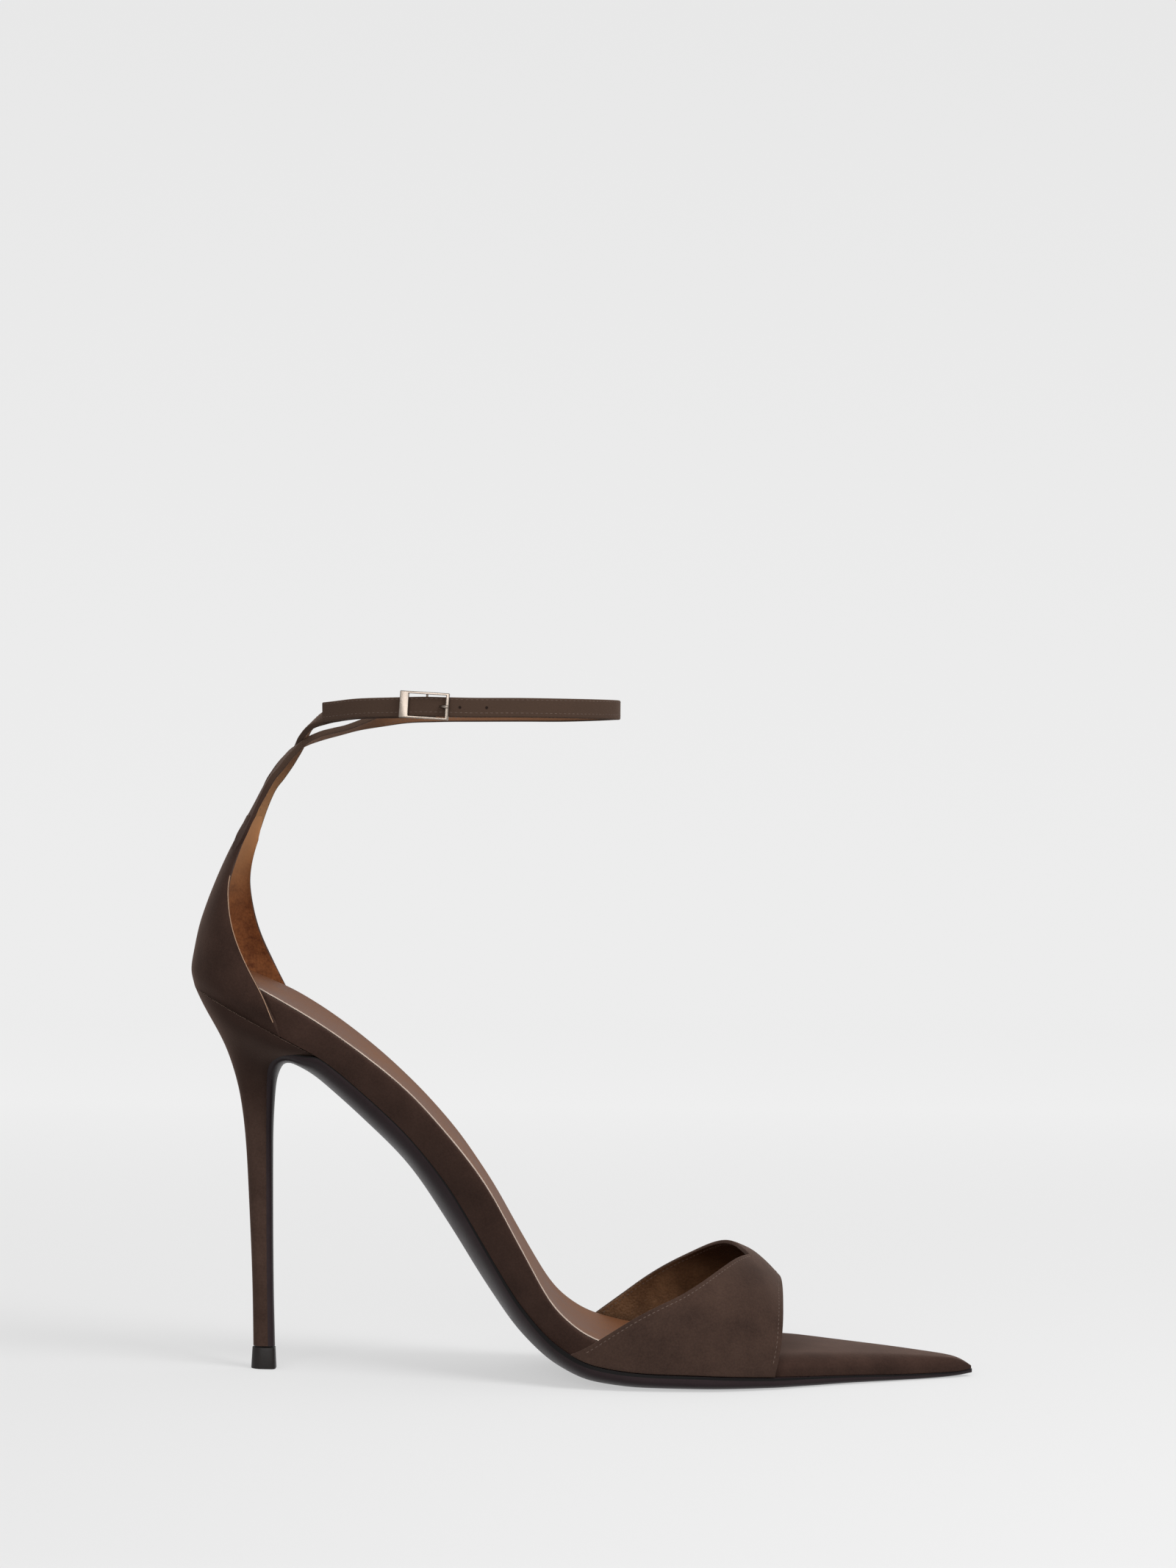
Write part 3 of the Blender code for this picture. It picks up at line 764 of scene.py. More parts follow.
    # Inside of a punched hole: a dark disc of painted shade for the hollow.
    hole_shade: Finish = Finish(
        "dark_punched_hole", "#1c130f", "#281c17", patch_mm=1.0, grain_mm=0.3, grain_depth_mm=0.02,
        roughness=0.9, specular=0.1,
    )
    # Sewing thread: waxed polyester, round and faintly glossy, a little paler than the suede.
    thread: Finish = Finish(
        "waxed_brown_thread", "#4a3b34", "#66544a", patch_mm=3.0, grain_mm=0.3, grain_depth_mm=0.02,
        roughness=0.7, specular=0.3,
    )

    def make(self) -> Dress:
        """Make every finish once, by its field's name."""
        return {name: finish.material() for name, finish in vars(self).items()}


class Last:
    """The shape that the shoe is built on: the footbed's sections from heel to toe.

    Each row gives the height of the footbed's top edge and lower edge, its middle line, its half
    widths to the outer and inner side, how far the lower edge tucks in and how much higher the
    inner edge is than the outer one.
    """

    COLUMNS = "x top low middle outer inner tuck rise"
    SECTIONS: Table = (
        (4.4, 114.9, 105.9, 1.5, 2.5, 2.5, 0.2, 0.0),
        (6.5, 114.0, 104.8, 1.3, 10.6, 10.6, 0.3, 0.0),
        (11.0, 112.1, 102.4, 0.9, 16.8, 16.8, 0.4, 0.0),
        (20.0, 107.4, 97.7, 0.0, 21.0, 21.0, 0.5, 1.0),
        (30.0, 102.0, 92.4, -1.0, 22.2, 22.0, 0.8, 1.8),
        (38.0, 97.3, 88.1, -1.7, 22.4, 21.3, 1.6, 1.7),
        (50.0, 89.0, 78.4, -2.7, 21.7, 19.4, 2.6, 1.4),
        (62.0, 79.4, 67.3, -3.6, 21.3, 18.4, 3.0, 0.5),
        (74.0, 66.8, 52.8, -4.4, 22.5, 19.2, 3.0, 0.1),
        (84.0, 54.3, 37.0, -5.1, 24.8, 21.7, 2.5, -1.7),
        (94.0, 37.0, 21.7, -5.7, 28.2, 25.7, 1.6, -2.0),
        (104.0, 20.7, 11.6, -6.1, 31.8, 29.9, 0.8, -1.1),
        (114.0, 13.5, 6.7, -6.4, 34.4, 33.2, 0.3, -0.4),
        (128.0, 9.8, 4.9, -6.6, 36.1, 35.7, 0.3, 0.0),
        (145.0, 8.7, 4.3, -6.5, 35.6, 36.0, 0.3, 0.0),
        (163.0, 8.7, 3.4, -6.1, 30.3, 31.3, 0.3, 0.0),
        (185.0, 7.7, 2.6, -5.3, 19.5, 20.4, 0.3, 0.0),
        (205.0, 6.3, 1.8, -4.6, 9.3, 9.8, 0.2, 0.0),
        (216.0, 5.0, 1.7, -4.3, 3.4, 3.6, 0.1, 0.0),
        (218.3, 3.9, 1.9, -4.2, 1.8, 1.9, 0.0, 0.0),
        (219.6, 2.9, 2.2, -4.2, 0.5, 0.5, 0.0, 0.0),
    )
    WINDOW = 4.0
    # Width of the rounded top edge and the share of the wall that it takes up, also at the toe.
    EDGE_ROUND = 0.9
    EDGE_DROP = 0.35
    TOE_ROUND = 7.0
    TOE_DROP = 0.65
    TOE_FROM = 160.0
    # Largest share of the half width that the rounded edge takes up.
    ROUND_SHARE = 0.4
    # Share of the width that the top is hollow under the foot, and crowned at the toe.
    DISH: Table = ((0.0, 0.02), (150.0, 0.02), (163.0, -0.008), (172.0, -0.018), (220.0, -0.02))
    TUCK_POWER = 1.74
    WALL_PARTS = 9
    ROUND_PARTS = 6
    TOP_PARTS = 26
    # Parts that the slope is measured in, and where the extra stations lie in the end steps.
    SLOPE_PARTS = 600
    CLOSE_AT_BACK = (0.12, 0.3, 0.6)
    CLOSE_AT_TOE = (0.3, 0.65)

    def __init__(self) -> None:
        """Work out the curves once."""
        self.curves = by_place(self.COLUMNS, self.SECTIONS, self.WINDOW)
        self.dish = FairCurve(*zip(*self.DISH))

    def at(self, name: str, x: float) -> float:
        """A column's value at a place along the shoe."""
        return self.curves[name](x)

    def stations(self, low: float, high: float, spacing: float) -> list[float]:
        """Places along the shoe at even steps along the footbed's slope, closer at its ends.

        Args:
            low: The first place.
            high: The last place.
            spacing: About how long a step is.

        Returns:
            The places, rising.
        """
        line = [Vector((x, 0.0, self.at("top", x))) for x in steps(low, high, self.SLOPE_PARTS)]
        even = [point.x for point in even_steps(line, spacing)]
        first, last = even[1] - even[0], even[-1] - even[-2]
        close = [even[0] + first * share for share in self.CLOSE_AT_BACK]
        return sorted(even + close + [even[-1] - last * share for share in self.CLOSE_AT_TOE])

    def top_height(self, x: float, y: float) -> float:
        """Height of the footbed's top.

        Args:
            x: Place along the shoe.
            y: Place across it.

        Returns:
            The height, hollow under the foot and crowned at the toe.
        """
        outer, inner = self.at("outer", x), self.at("inner", x)
        share = min(max((y - self.at("middle", x) + outer) / (outer + inner), 0.0), 1.0)
        hollow = self.dish(x) * (outer + inner) * (1.0 - (2.0 * share - 1.0) ** 2)
        return self.at("top", x) + self.at("rise", x) * share - hollow

    def section(self, x: float) -> list[Vector]:
        """Section of the wrapped footbed.

        Args:
            x: Place along the shoe.

        Returns:
            A closed ring, up the outer wall, over the top and down the inner wall.
        """
        middle, top, low, tuck = (self.at(name, x) for name in ("middle", "top", "low", "tuck"))
        toe = x > self.TOE_FROM
        edge = self.TOE_ROUND if toe else self.EDGE_ROUND
        drop = min(edge, (self.TOE_DROP if toe else self.EDGE_DROP) * (top - low))
        walls = {}
        for side in Side:
            half = self.at("outer" if side is Side.OUTER else "inner", x)
            soft = min(edge, self.ROUND_SHARE * half)
            brim = self.top_height(x, middle + side.value * (half - soft))
            wall = [
                Vector((x, middle + side.value * (half - tuck * (1.0 - t) ** self.TUCK_POWER),
                        low + (brim - drop - low) * t))
                for t in steps(0.0, 1.0, self.WALL_PARTS)
            ]
            for angle in steps(0.0, math.pi / 2.0, self.ROUND_PARTS)[1:]:
                y = middle + side.value * (half - soft * (1.0 - math.cos(angle)))
                wall.append(Vector((x, y, brim - drop * (1.0 - math.sin(angle)))))
            walls[side] = wall
        left, right = walls[Side.OUTER][-1].y, walls[Side.INNER][-1].y
        inner_ys = steps(left, right, self.TOP_PARTS)[1:-1]
        across = [Vector((x, y, self.top_height(x, y))) for y in inner_ys]
        return walls[Side.OUTER] + across + walls[Side.INNER][::-1]


@dataclass
class Footbed:
    """The board wrapped in suede, and the calf sock that lies on it."""

    last: Last
    dress: Dress
    spacing: float = 1.0
    sock_back: float = 5.2
    sock_front: float = 150.0
    sock_inset: float = 1.5
    sock_lift: float = 0.6
    sock_wall: float = 0.38
    sock_edge: float = 0.18
    sock_least_half: float = 0.6
    sock_parts: int = 44

    def build(self) -> None:
        """Make the wrapped board and its sock."""
        rows = self.last.SECTIONS
        places = self.last.stations(rows[0][0], rows[-1][0], self.spacing)
        sections = {x: self.last.section(x) for x in places}
        count = len(sections[places[0]])
        board = patch(places, range(count + 1), lambda x, v: sections[x][int(v) % count], ring=True)
        add_piece("footbed_wrap", board, pick(self.dress, "rim_suede"), Slot.RIM, ["wrapped_footbed"])
        places = self.last.stations(self.sock_back, self.sock_front, self.spacing)
        sock = patch(places, steps(-1.0, 1.0, self.sock_parts), self.sock_point)
        skins = pick(self.dress, "sock_calf", "sock_calf", "cream_edge")
        piece = add_piece("calf_sock", sock, skins, Slot.SOCK, ["insole_sock"])
        thicken(piece, self.sock_wall, self.sock_edge)

    def sock_point(self, x: float, across: float) -> Vector:
        """Point of the sock's top.

        Args:
            x: Place along the shoe.
            across: Place across it, from -1 at the sock's outer edge to 1 at its inner edge.

        Returns:
            The point.
        """
        edge = self.last.at("outer" if across < 0.0 else "inner", x) - self.sock_inset
        half = max(edge, self.sock_least_half)
        y = self.last.at("middle", x) + across * half
        return Vector((x, y, self.last.top_height(x, y) + self.sock_lift))


@dataclass
class Outsole:
    """The black sole under forefoot and waist, and its tongue down the front of the heel.

    A sole row gives the lowest height before the floor levels it, how far the edge stands out,
    how square the section is and how deep its inked edge is, a black band that is partly painted
    shade on the side face. A tongue row gives its hidden face, bare face and half width.
    """

    last: Last
    dress: Dress
    sole_columns: str = "x bottom spread square ink"
    sole_rows: Table = (
        (34.0, 83.6, 0.0, 2.0, 0.3), (40.0, 78.6, 0.0, 2.0, 0.3), (50.0, 69.7, 0.0, 2.0, 0.3),
        (62.0, 57.8, 0.0, 2.0, 0.4), (74.0, 40.6, 0.0, 2.0, 0.8), (84.0, 25.1, 0.0, 2.1, 1.2),
        (94.0, 12.0, 0.3, 2.4, 1.5), (104.0, 4.2, 1.4, 2.9, 1.4), (114.0, 0.7, 2.5, 3.5, 1.0),
        (128.0, -0.3, 2.8, 4.2, 0.8), (145.0, -0.3, 3.0, 5.0, 0.7), (163.0, -0.3, 2.9, 5.0, 0.7),
        (172.0, -0.3, 1.4, 5.0, 0.6), (185.0, -0.2, 0.8, 4.5, 0.5), (205.0, -0.1, 0.6, 4.0, 0.4),
        (216.0, 0.4, 0.5, 3.5, 0.3), (219.8, 1.0, 0.3, 3.0, 0.2),
    )
    tongue_columns: str = "x_in z_in x_out z_out half"
    tongue_rows: Table = (
        (22.6, 6.4, 24.7, 6.4, 2.8), (22.1, 23.0, 24.2, 23.0, 2.8),
        (21.7, 44.0, 23.85, 44.0, 2.9), (21.4, 64.0, 23.7, 64.0, 3.4),
        (21.6, 77.0, 24.1, 76.5, 4.7), (21.9, 82.3, 24.55, 80.9, 6.4),
        (22.9, 86.2, 25.4, 83.7, 9.6), (25.2, 88.6, 26.7, 85.55, 13.2),
        (28.4, 89.4, 28.7, 86.05, 16.8), (32.8, 88.8, 32.3, 84.6, 19.2),
    )
    tongue_square: float = 2.86
    tongue_ink: float = 0.1
    tongue_parts: int = 27
    sole_start: float = 37.0
    window: float = 3.0
    ring_spacing: float = 3.0
    skin_spacing: float = 1.1
    arc_parts: int = 44
    glue_line: float = 0.12

    def build(self) -> None:
        """Make the sole in one piece, from the foot of the heel to the toe."""
        sole = by_place(self.sole_columns, self.sole_rows, self.window)
        tongue = by_number(self.tongue_columns, self.tongue_rows)
        numbers = steps(0.0, len(self.tongue_rows) - 1.0, self.tongue_parts)
        places = self.last.stations(self.sole_start, self.sole_rows[-1][0], self.ring_spacing)
        rings = [self.tongue_ring(tongue, number) for number in numbers]
        rings += [self.sole_ring(sole, x) for x in places]
        edge = len(rings[0]) - 1
        # The first and last columns take the black edge: ink, and painted shade on the shaded side face.
        skin = loft(rings, self.skin_spacing, lambda column: int(column in (1, edge)))
        for vert in skin.verts:
            vert.co.z = max(vert.co.z, 0.0)
        add_piece("outsole", skin, pick(self.dress, "black_sole", "inked_and_shaded_edge"), Slot.SOLE, ["outsole"])

    def arc(self, square: float, ink: float) -> Iterable[tuple[float, float]]:
        """Go round the underside from one inked edge to the other.

        Args:
            square: How square the section is.
            ink: Share of the depth that the black edge takes up, inked and partly painted shade.

        Yields:
            Shares across, from the inner side, and down.
        """
        first = math.asin(ink ** (square / 2.0))
        for angle in steps(first, math.pi - first, self.arc_parts):
            yield signed_power(math.cos(angle), square), math.sin(angle) ** (2.0 / square)

    def sole_ring(self, sole: dict[str, FairCurve], x: float) -> list[Vector]:
        """Section of the sole.

        Args:
            sole: The sole's curves.
            x: Place along the shoe.

        Returns:
            A closed ring, with a flat top and a rounded underside.
        """
        middle, tuck = self.last.at("middle", x), self.last.at("tuck", x)
        top = self.last.at("low", x) - self.glue_line
        spread, depth = sole["spread"](x), top - sole["bottom"](x)
        halves = [self.last.at(name, x) - tuck + spread for name in ("outer", "inner")]
        ring = [Vector((x, middle - halves[0], top)), Vector((x, middle + halves[1], top))]
        for across, down in self.arc(sole["square"](x), sole["ink"](x) / depth):
            ring.append(Vector((x, middle + across * halves[across > 0.0], top - depth * down)))
        return ring

    def tongue_ring(self, tongue: dict[str, FairCurve], number: float) -> list[Vector]:
        """Section of the tongue.

        Args:
            tongue: The tongue's curves.
            number: Number of its row, with parts.

        Returns:
            A closed ring, its points in the same order as the sole's.
        """
        row = {name: curve(number) for name, curve in tongue.items()}
        hidden = Vector((row["x_in"], self.last.at("middle", row["x_in"]), row["z_in"]))
        bare = Vector((row["x_out"], self.last.at("middle", row["x_out"]), row["z_out"]))
        ring = [hidden + Vector((0.0, side.value * row["half"], 0.0)) for side in Side]
        for across, out in self.arc(self.tongue_square, self.tongue_ink):
            ring.append(hidden.lerp(bare, out) + Vector((0.0, across * row["half"], 0.0)))
        return ring


@dataclass
class Heel:
    """The suede-covered stiletto and its rubber top piece.

    A row gives the back point, the front point and the half width of a section.
    """

    last: Last
    dress: Dress
    columns: str = "x_back z_back x_front z_front half"
    rows: Table = (
        (1.3, 107.2, 37.0, 88.35, 22.3), (3.1, 103.2, 32.8, 88.1, 21.4),
        (5.7, 98.6, 28.6, 88.1, 18.8), (8.4, 93.8, 25.4, 86.9, 14.2),
        (10.7, 88.8, 23.6, 85.0, 10.2), (12.8, 82.5, 22.8, 81.4, 6.9),
        (14.3, 76.5, 22.6, 76.5, 5.2), (16.0, 64.1, 22.4, 64.1, 3.8),
        (17.2, 44.0, 22.6, 44.0, 3.2), (18.2, 24.0, 22.95, 24.0, 3.0),
        (18.6, 6.4, 23.4, 6.4, 3.0),
    )
    front_square: float = 5.0
    back_square: float = 2.2
    sides: int = 80
    window: float = 0.7
    ring_parts: int = 50
    spacing: float = 1.0
    tip_back: float = 18.05
    tip_front: float = 25.1
    tip_taper: float = 0.91
    tip_half: float = 3.4
    tip_height: float = 6.05
    tip_edge: float = 0.22

    def build(self) -> None:
        """Make the heel and its top piece."""
        curves = by_number(self.columns, self.rows, self.window)
        rings = [
            self.ring({name: curve(number) for name, curve in curves.items()})
            for number in steps(0.0, len(self.rows) - 1.0, self.ring_parts)
        ]
        cover = loft(rings, self.spacing)
        add_piece("heel_cover", cover, pick(self.dress, "heel_suede"), Slot.HEEL, ["heel"])
        add_piece("heel_top_piece", self.tip(), pick(self.dress, "black_rubber"), Slot.TIP, ["heel_tip"])

    def tip(self) -> bmesh.types.BMesh:
        """Make the top piece, pulled up from its base, drawn in and rounded at both rims.

        Returns:
            The top piece, in millimetres.
        """
        row = {"x_back": self.tip_back, "x_front": self.tip_front, "half": self.tip_half}
        base = self.ring({**row, "z_back": 0.0, "z_front": 0.0})
        tip = bmesh.new()
        face = tip.faces.new([tip.verts.new(point) for point in base])
        risen = pull(tip, [face], (0.0, 0.0, self.tip_height))
        middle = (self.tip_back + self.tip_front) / 2.0
        bmesh.ops.scale(
            tip, vec=(self.tip_taper, self.tip_taper, 1.0), verts=risen,
            space=Matrix.Translation((-middle, -self.last.at("middle", middle), 0.0)),
        )
        bmesh.ops.recalc_face_normals(tip, faces=tip.faces)
        rims = [edge for edge in tip.edges if abs(edge.verts[0].co.z - edge.verts[1].co.z) < WELD]
        round_off(tip, rims, self.tip_edge)
        return tip

    def ring(self, row: dict[str, float]) -> list[Vector]:
        """Section of the heel.

        Args:
            row: Its back point, front point and half width.

        Returns:
            A closed ring, round at the back and flat at the front.
        """
        made = []
        for i in range(self.sides):
            angle = 2.0 * math.pi * (i + 0.5) / self.sides
            square = self.front_square if math.cos(angle) > 0.0 else self.back_square
            along = 0.5 + 0.5 * signed_power(math.cos(angle), square)
            x = row["x_back"] + along * (row["x_front"] - row["x_back"])
            z = row["z_back"] + along * (row["z_front"] - row["z_back"])
            across = signed_power(math.sin(angle), square) * row["half"]
            made.append(Vector((x, self.last.at("middle", x) + across, z)))
        return made


@dataclass(frozen=True)
class StitchRow:
    """A row of lockstitches, each a short round thread that dips in at both ends."""

    length: float
    width: float
    height: float
    pitch: float = 1.4
    reach: float = 0.3

    def sew(self, made: bmesh.types.BMesh, line: Sequence[Vector], out: Sequence[Vector]) -> None:
        """Sew along a line.

        Args:
            made: The bmesh that takes the stitches.
            line: Points on the surface.
            out: The surface's outward direction at each point.
        """
        stitch = self.stitch()
        at = np.array([tuple(point) for point in line])
        up = np.array([tuple(direction) for direction in out])
        length = lengths_along(at)
        for s in np.arange(self.pitch, length[-1] - self.pitch / 2.0, self.pitch):
            before, here, after = (
                Vector(tuple(np.interp(s + d, length, column) for column in at.T))
                for d in (-self.reach, 0.0, self.reach)
            )
            normal = Vector(tuple(np.interp(s, length, column) for column in up.T)).normalized()
            along = (after - before).normalized()
            side = along.cross(normal).normalized()
            turn = Matrix((side * self.width / 2.0, normal * self.height / 2.0, along * self.length / 2.0))
            sewn = stitch.copy()
            sewn.transform(Matrix.Translation(here) @ turn.transposed().to_4x4())
            made.from_mesh(sewn)
            bpy.data.meshes.remove(sewn)
        bpy.data.meshes.remove(stitch)

    def stitch(self) -> bpy.types.Mesh:
        """Make one stitch of unit size, for copying.

        Returns:
            The stitch's mesh.
        """
        made = bmesh.new()
        bmesh.ops.create_uvsphere(made, u_segments=6, v_segments=4, radius=1.0)
        return mesh_of("stitch", made)


@dataclass
class ToeBand:
    """The wide band over the toes, with a V cut in its back edge and a row of stitches at each edge.

    The crown rows give the height of its ridge along the shoe. The edge rows give where its cut
    edges are, by the angle from the outer side (0) over the crown (90) to the inner side (180).
    """

    last: Last
    dress: Dress
    crown: Table = (
        (104.0, 58.0), (120.0, 49.3), (135.0, 42.8), (146.0, 38.6), (153.5, 36.4), (158.0, 34.5),
        (162.0, 31.4), (166.8, 26.4),
    )
    outer_back: Table = ((0.0, 107.5), (19.0, 123.8), (37.0, 139.2), (55.0, 148.3), (79.0, 157.1))
    inner_back: Table = ((79.0, 157.1), (100.0, 152.0), (128.0, 142.9), (157.0, 125.8), (180.0, 108.2))
    front: Table = (
        (0.0, 163.4), (20.0, 165.2), (45.0, 166.0), (90.0, 166.4), (135.0, 165.8), (180.0, 163.4),
    )
    ridge_offset: float = 4.0
    base_gap: float = 0.6
    stand_off: float = 1.8
    wall: float = 1.1
    square: float = 2.5
    cut_edge: float = 0.45
    foot_lift: float = 0.1
    crown_window: float = 2.0
    edge_window: float = 4.0
    outer_parts: int = 64
    inner_parts: int = 74
    along_parts: int = 44
    inside: Row = (140.0, -4.0, 5.0)
    stitches: StitchRow = StitchRow(length=0.9, width=0.26, height=0.16)
    seam_in: float = 1.1
    front_seam_in: float = 1.3
    # Angles at which the front seam begins and ends, and steps that the back seams leave free.
    front_seam: tuple[float, float] = (6.0, 174.0)
    front_seam_parts: int = 120
    seam_free: int = 2
    # Small steps for working out directions, and the flattest that the edge may run to its seam.
    probe: float = 0.3
    probe_angle: float = 0.5
    probe_edge: float = 0.5
    flattest: float = 0.2

    def __post_init__(self) -> None:
        """Work out the curves once."""
        self.crown_at = FairCurve(*zip(*self.crown), self.crown_window)
        self.outer_at, self.inner_at, self.front_at = (
            FairCurve(*zip(*rows), self.edge_window)
            for rows in (self.outer_back, self.inner_back, self.front)
        )
        self.apex = self.outer_back[-1][0]

    def build(self) -> None:
        """Make the band and sew it."""
        outer = steps(0.0, self.apex, self.outer_parts)
        inner = steps(self.apex, 180.0, self.inner_parts)
        band = patch(
            outer + inner[1:], steps(0.0, 1.0, self.along_parts),
            lambda a, t: self.point(self.along(a, t), a),
        )
        face_outwards(band, self.inside)
        skins = pick(self.dress, "suede", "bronze_lining", "suede")
        piece = add_piece("toe_band", band, skins, Slot.VAMP, ["vamp_band"])
        thicken(piece, self.wall, self.cut_edge)
        thread = bmesh.new()
        for line in (outer, inner):
            free = slice(self.seam_free, -self.seam_free)
            self.sew(thread, line[free], lambda a: self.back(a) + self.inset(a))
        front = steps(*self.front_seam, self.front_seam_parts)
        self.sew(thread, front, lambda a: self.front_at(a) - self.front_seam_in)
        add_piece("toe_band_stitches", thread, pick(self.dress, "thread"), Slot.VAMP)

    def back(self, angle: float) -> float:
        """Place of the back edge along the shoe."""
        return self.outer_at(angle) if angle < self.apex else self.inner_at(angle)

    def along(self, angle: float, share: float) -> float:
        """Place along the shoe, from the back edge (0) to the front edge (1)."""
        back = self.back(angle)
        return back + (self.front_at(angle) - back) * share

    def point(self, x: float, angle: float) -> Vector:
        """Point of the band's outside.

        Args:
            x: Place along the shoe.
            angle: Angle from the outer side over the crown, in degrees.

        Returns:
            The point.
        """
        turn = math.radians(angle)
        low = self.last.at("low", x) + self.foot_lift
        out = self.base_gap + self.stand_off
        if angle < 90.0:
            half = self.last.at("outer", x) + out + self.ridge_offset
        else:
            half = self.last.at("inner", x) + out - self.ridge_offset
        across = -half * signed_power(math.cos(turn), self.square)
        ridge = self.last.at("middle", x) + self.ridge_offset
        return Vector((x, ridge + across, low + (self.crown_at(x) - low) * max(math.sin(turn), 0.0)))

    def normal(self, x: float, angle: float) -> Vector:
        """Direction square to the band's outside.

        Args:
            x: Place along the shoe.
            angle: Angle from the outer side over the crown, in degrees.

        Returns:
            The direction, of length 1.
        """
        along = self.point(x + self.probe, angle) - self.point(x - self.probe, angle)
        high, low = min(angle + self.probe_angle, 180.0), max(angle - self.probe_angle, 0.0)
        return (self.point(x, high) - self.point(x, low)).cross(along).normalized()

    def inset(self, angle: float) -> float:
        """How far along the shoe the seam is from the back edge to run even with it.

        Args:
            angle: Angle from the outer side over the crown, in degrees.

        Returns:
            The distance.
        """
        side = 1.0 if angle < self.apex - self.probe_angle else -1.0
        near = self.point(self.back(angle), angle)
        edge = (self.point(self.back(angle - side), angle - side) - near).normalized()
        along = (self.point(self.back(angle) + self.probe_edge, angle) - near).normalized()
        return self.seam_in / max(edge.cross(along).length, self.flattest)

    def sew(
        self, thread: bmesh.types.BMesh, angles: Sequence[float], where: Callable[[float], float],
    ) -> None:
        """Sew one seam right through the band, so that it shows outside and inside.

        Args:
            thread: The bmesh that takes the stitches.
            angles: The seam's angles from the outer side over the crown.
            where: Gives the seam's place along the shoe at an angle.
        """
        outside = [self.point(where(a), a) for a in angles]
        normals = [self.normal(where(a), a) for a in angles]
        if normals[0].dot(outside[0] - Vector(self.inside)) < 0.0:
            normals = [-normal for normal in normals]
        self.stitches.sew(thread, outside, normals)
        lining = [point - normal * self.wall for point, normal in zip(outside, normals)]
        self.stitches.sew(thread, lining, [-normal for normal in normals])


@dataclass
class Counter:
    """The heel cup, an open U that narrows up the back of the ankle.

    A row is a level: height and place at the back seam, forward slope, half width, reach to the
    front edge and how square the U is.
    """

    last: Last
    dress: Dress
    columns: str = "z x slope half reach square"
    rows: Table = (
        (107.3, 1.3, 0.53, 21.5, 27.4, 2.5), (112.0, 0.4, 0.42, 24.4, 25.2, 2.5),
        (118.0, 1.3, 0.30, 24.3, 18.8, 2.4), (124.0, 2.5, 0.20, 22.4, 13.6, 2.2),
        (130.0, 4.4, 0.10, 20.3, 9.7, 2.1), (137.0, 7.1, 0.0, 17.5, 6.5, 2.0),
        (143.0, 9.7, 0.0, 14.8, 5.2, 2.0), (149.0, 12.6, 0.0, 13.0, 4.4, 2.0),
        (155.0, 15.4, 0.0, 12.0, 4.0, 2.0),
    )
    heel_turn: float = math.radians(5.5)
    wall: float = 1.4
    top_wall: float = 0.7
    taper_levels: tuple[float, float] = (5.5, 8.0)
    edge_levels: tuple[float, float] = (0.5, 5.2)
    strap_turn: float = 0.66
    shoulder: tuple[float, float] = (0.44, 0.72)
    back_dip: float = 2.0
    front_dip: float = 1.2
    front_power: float = 1.5
    edge_line: float = 0.12
    edge_parts: int = 40
    edge_spacing: float = 0.6
    cut_edge: float = 0.3
    window: float = 0.4
    up_parts: int = 72
    round_parts: int = 90
    inside: Row = (30.0, 0.0, 125.0)

    def __post_init__(self) -> None:
        """Work out the curves once."""
        self.curves = by_number(self.columns, self.rows, self.window)

    def build(self) -> None:
        """Make the cup, with its wall thinner towards the top, and the edge of its lining."""
        cup = patch(
            steps(0.0, 1.0, self.up_parts), steps(-1.0, 1.0, self.round_parts),
            lambda up, turn: self.point(up * self.crest(turn), turn),
        )
        face_outwards(cup, self.inside)
        skins = pick(self.dress, "counter_suede", "tan_lining", "counter_suede")
        piece = add_piece("heel_counter", cup, skins, Slot.COUNTER, ["counter_and_ankle_strap"])
        group = piece.vertex_groups.new(name="wall")
        low, high = (to_frame(self.point(level, 0.0)).z for level in self.taper_levels)
        for vert in piece.data.vertices:
            share = min(max((vert.co.z - low) / (high - low), 0.0), 1.0)
            group.add([vert.index], 1.0 - share, "REPLACE")
        thicken(piece, self.wall, self.cut_edge)
        piece.modifiers["wall"].vertex_group = group.name
        piece.modifiers["wall"].thickness_vertex_group = self.top_wall
        levels = steps(*self.edge_levels, self.edge_parts)
        line = even_steps([self.point(level, Side.OUTER.value) for level in levels], self.edge_spacing)
        wire = tube(line, self.edge_line, (0.0, 1.0, 0.0))
        add_piece("counter_edge_line", wire, pick(self.dress, "lining_edge"), Slot.COUNTER)

    def crest(self, turn: float) -> float:
        """Level of the cup's top, highest where a strap grows out and lower to both sides of it.

        Args:
            turn: Place round the cup, from -1 to 1.

        Returns:
            The level, as a row's number with parts.
        """
        top = len(self.rows) - 1.0
        back, front = self.shoulder
        if abs(turn) < back:
            return top - self.back_dip * (1.0 - (turn / back) ** 2)
        return top - self.front_dip * (max(abs(turn) - front, 0.0) / (1.0 - front)) ** self.front_power

    def point(self, level: float, turn: float) -> Vector:
        """Point of the cup's outside.

        Args:
            level: Number of a row, with parts.
            turn: Place round the cup, from its outer front edge (-1) to its inner one (1).

        Returns:
            The point.
        """
        row = {name: curve(level) for name, curve in self.curves.items()}
        side = math.copysign(1.0, turn)
        reach = row["reach"] + side * row["half"] * math.tan(self.heel_turn)
        angle = abs(turn) * math.pi / 2.0
        forward = reach * (1.0 - max(math.cos(angle), 0.0) ** (2.0 / row["square"]))
        across = side * row["half"] * math.sin(angle) ** (2.0 / row["square"])
        x = row["x"] + forward
        return Vector((x, self.last.at("middle", x) + across, row["z"] - row["slope"] * forward))


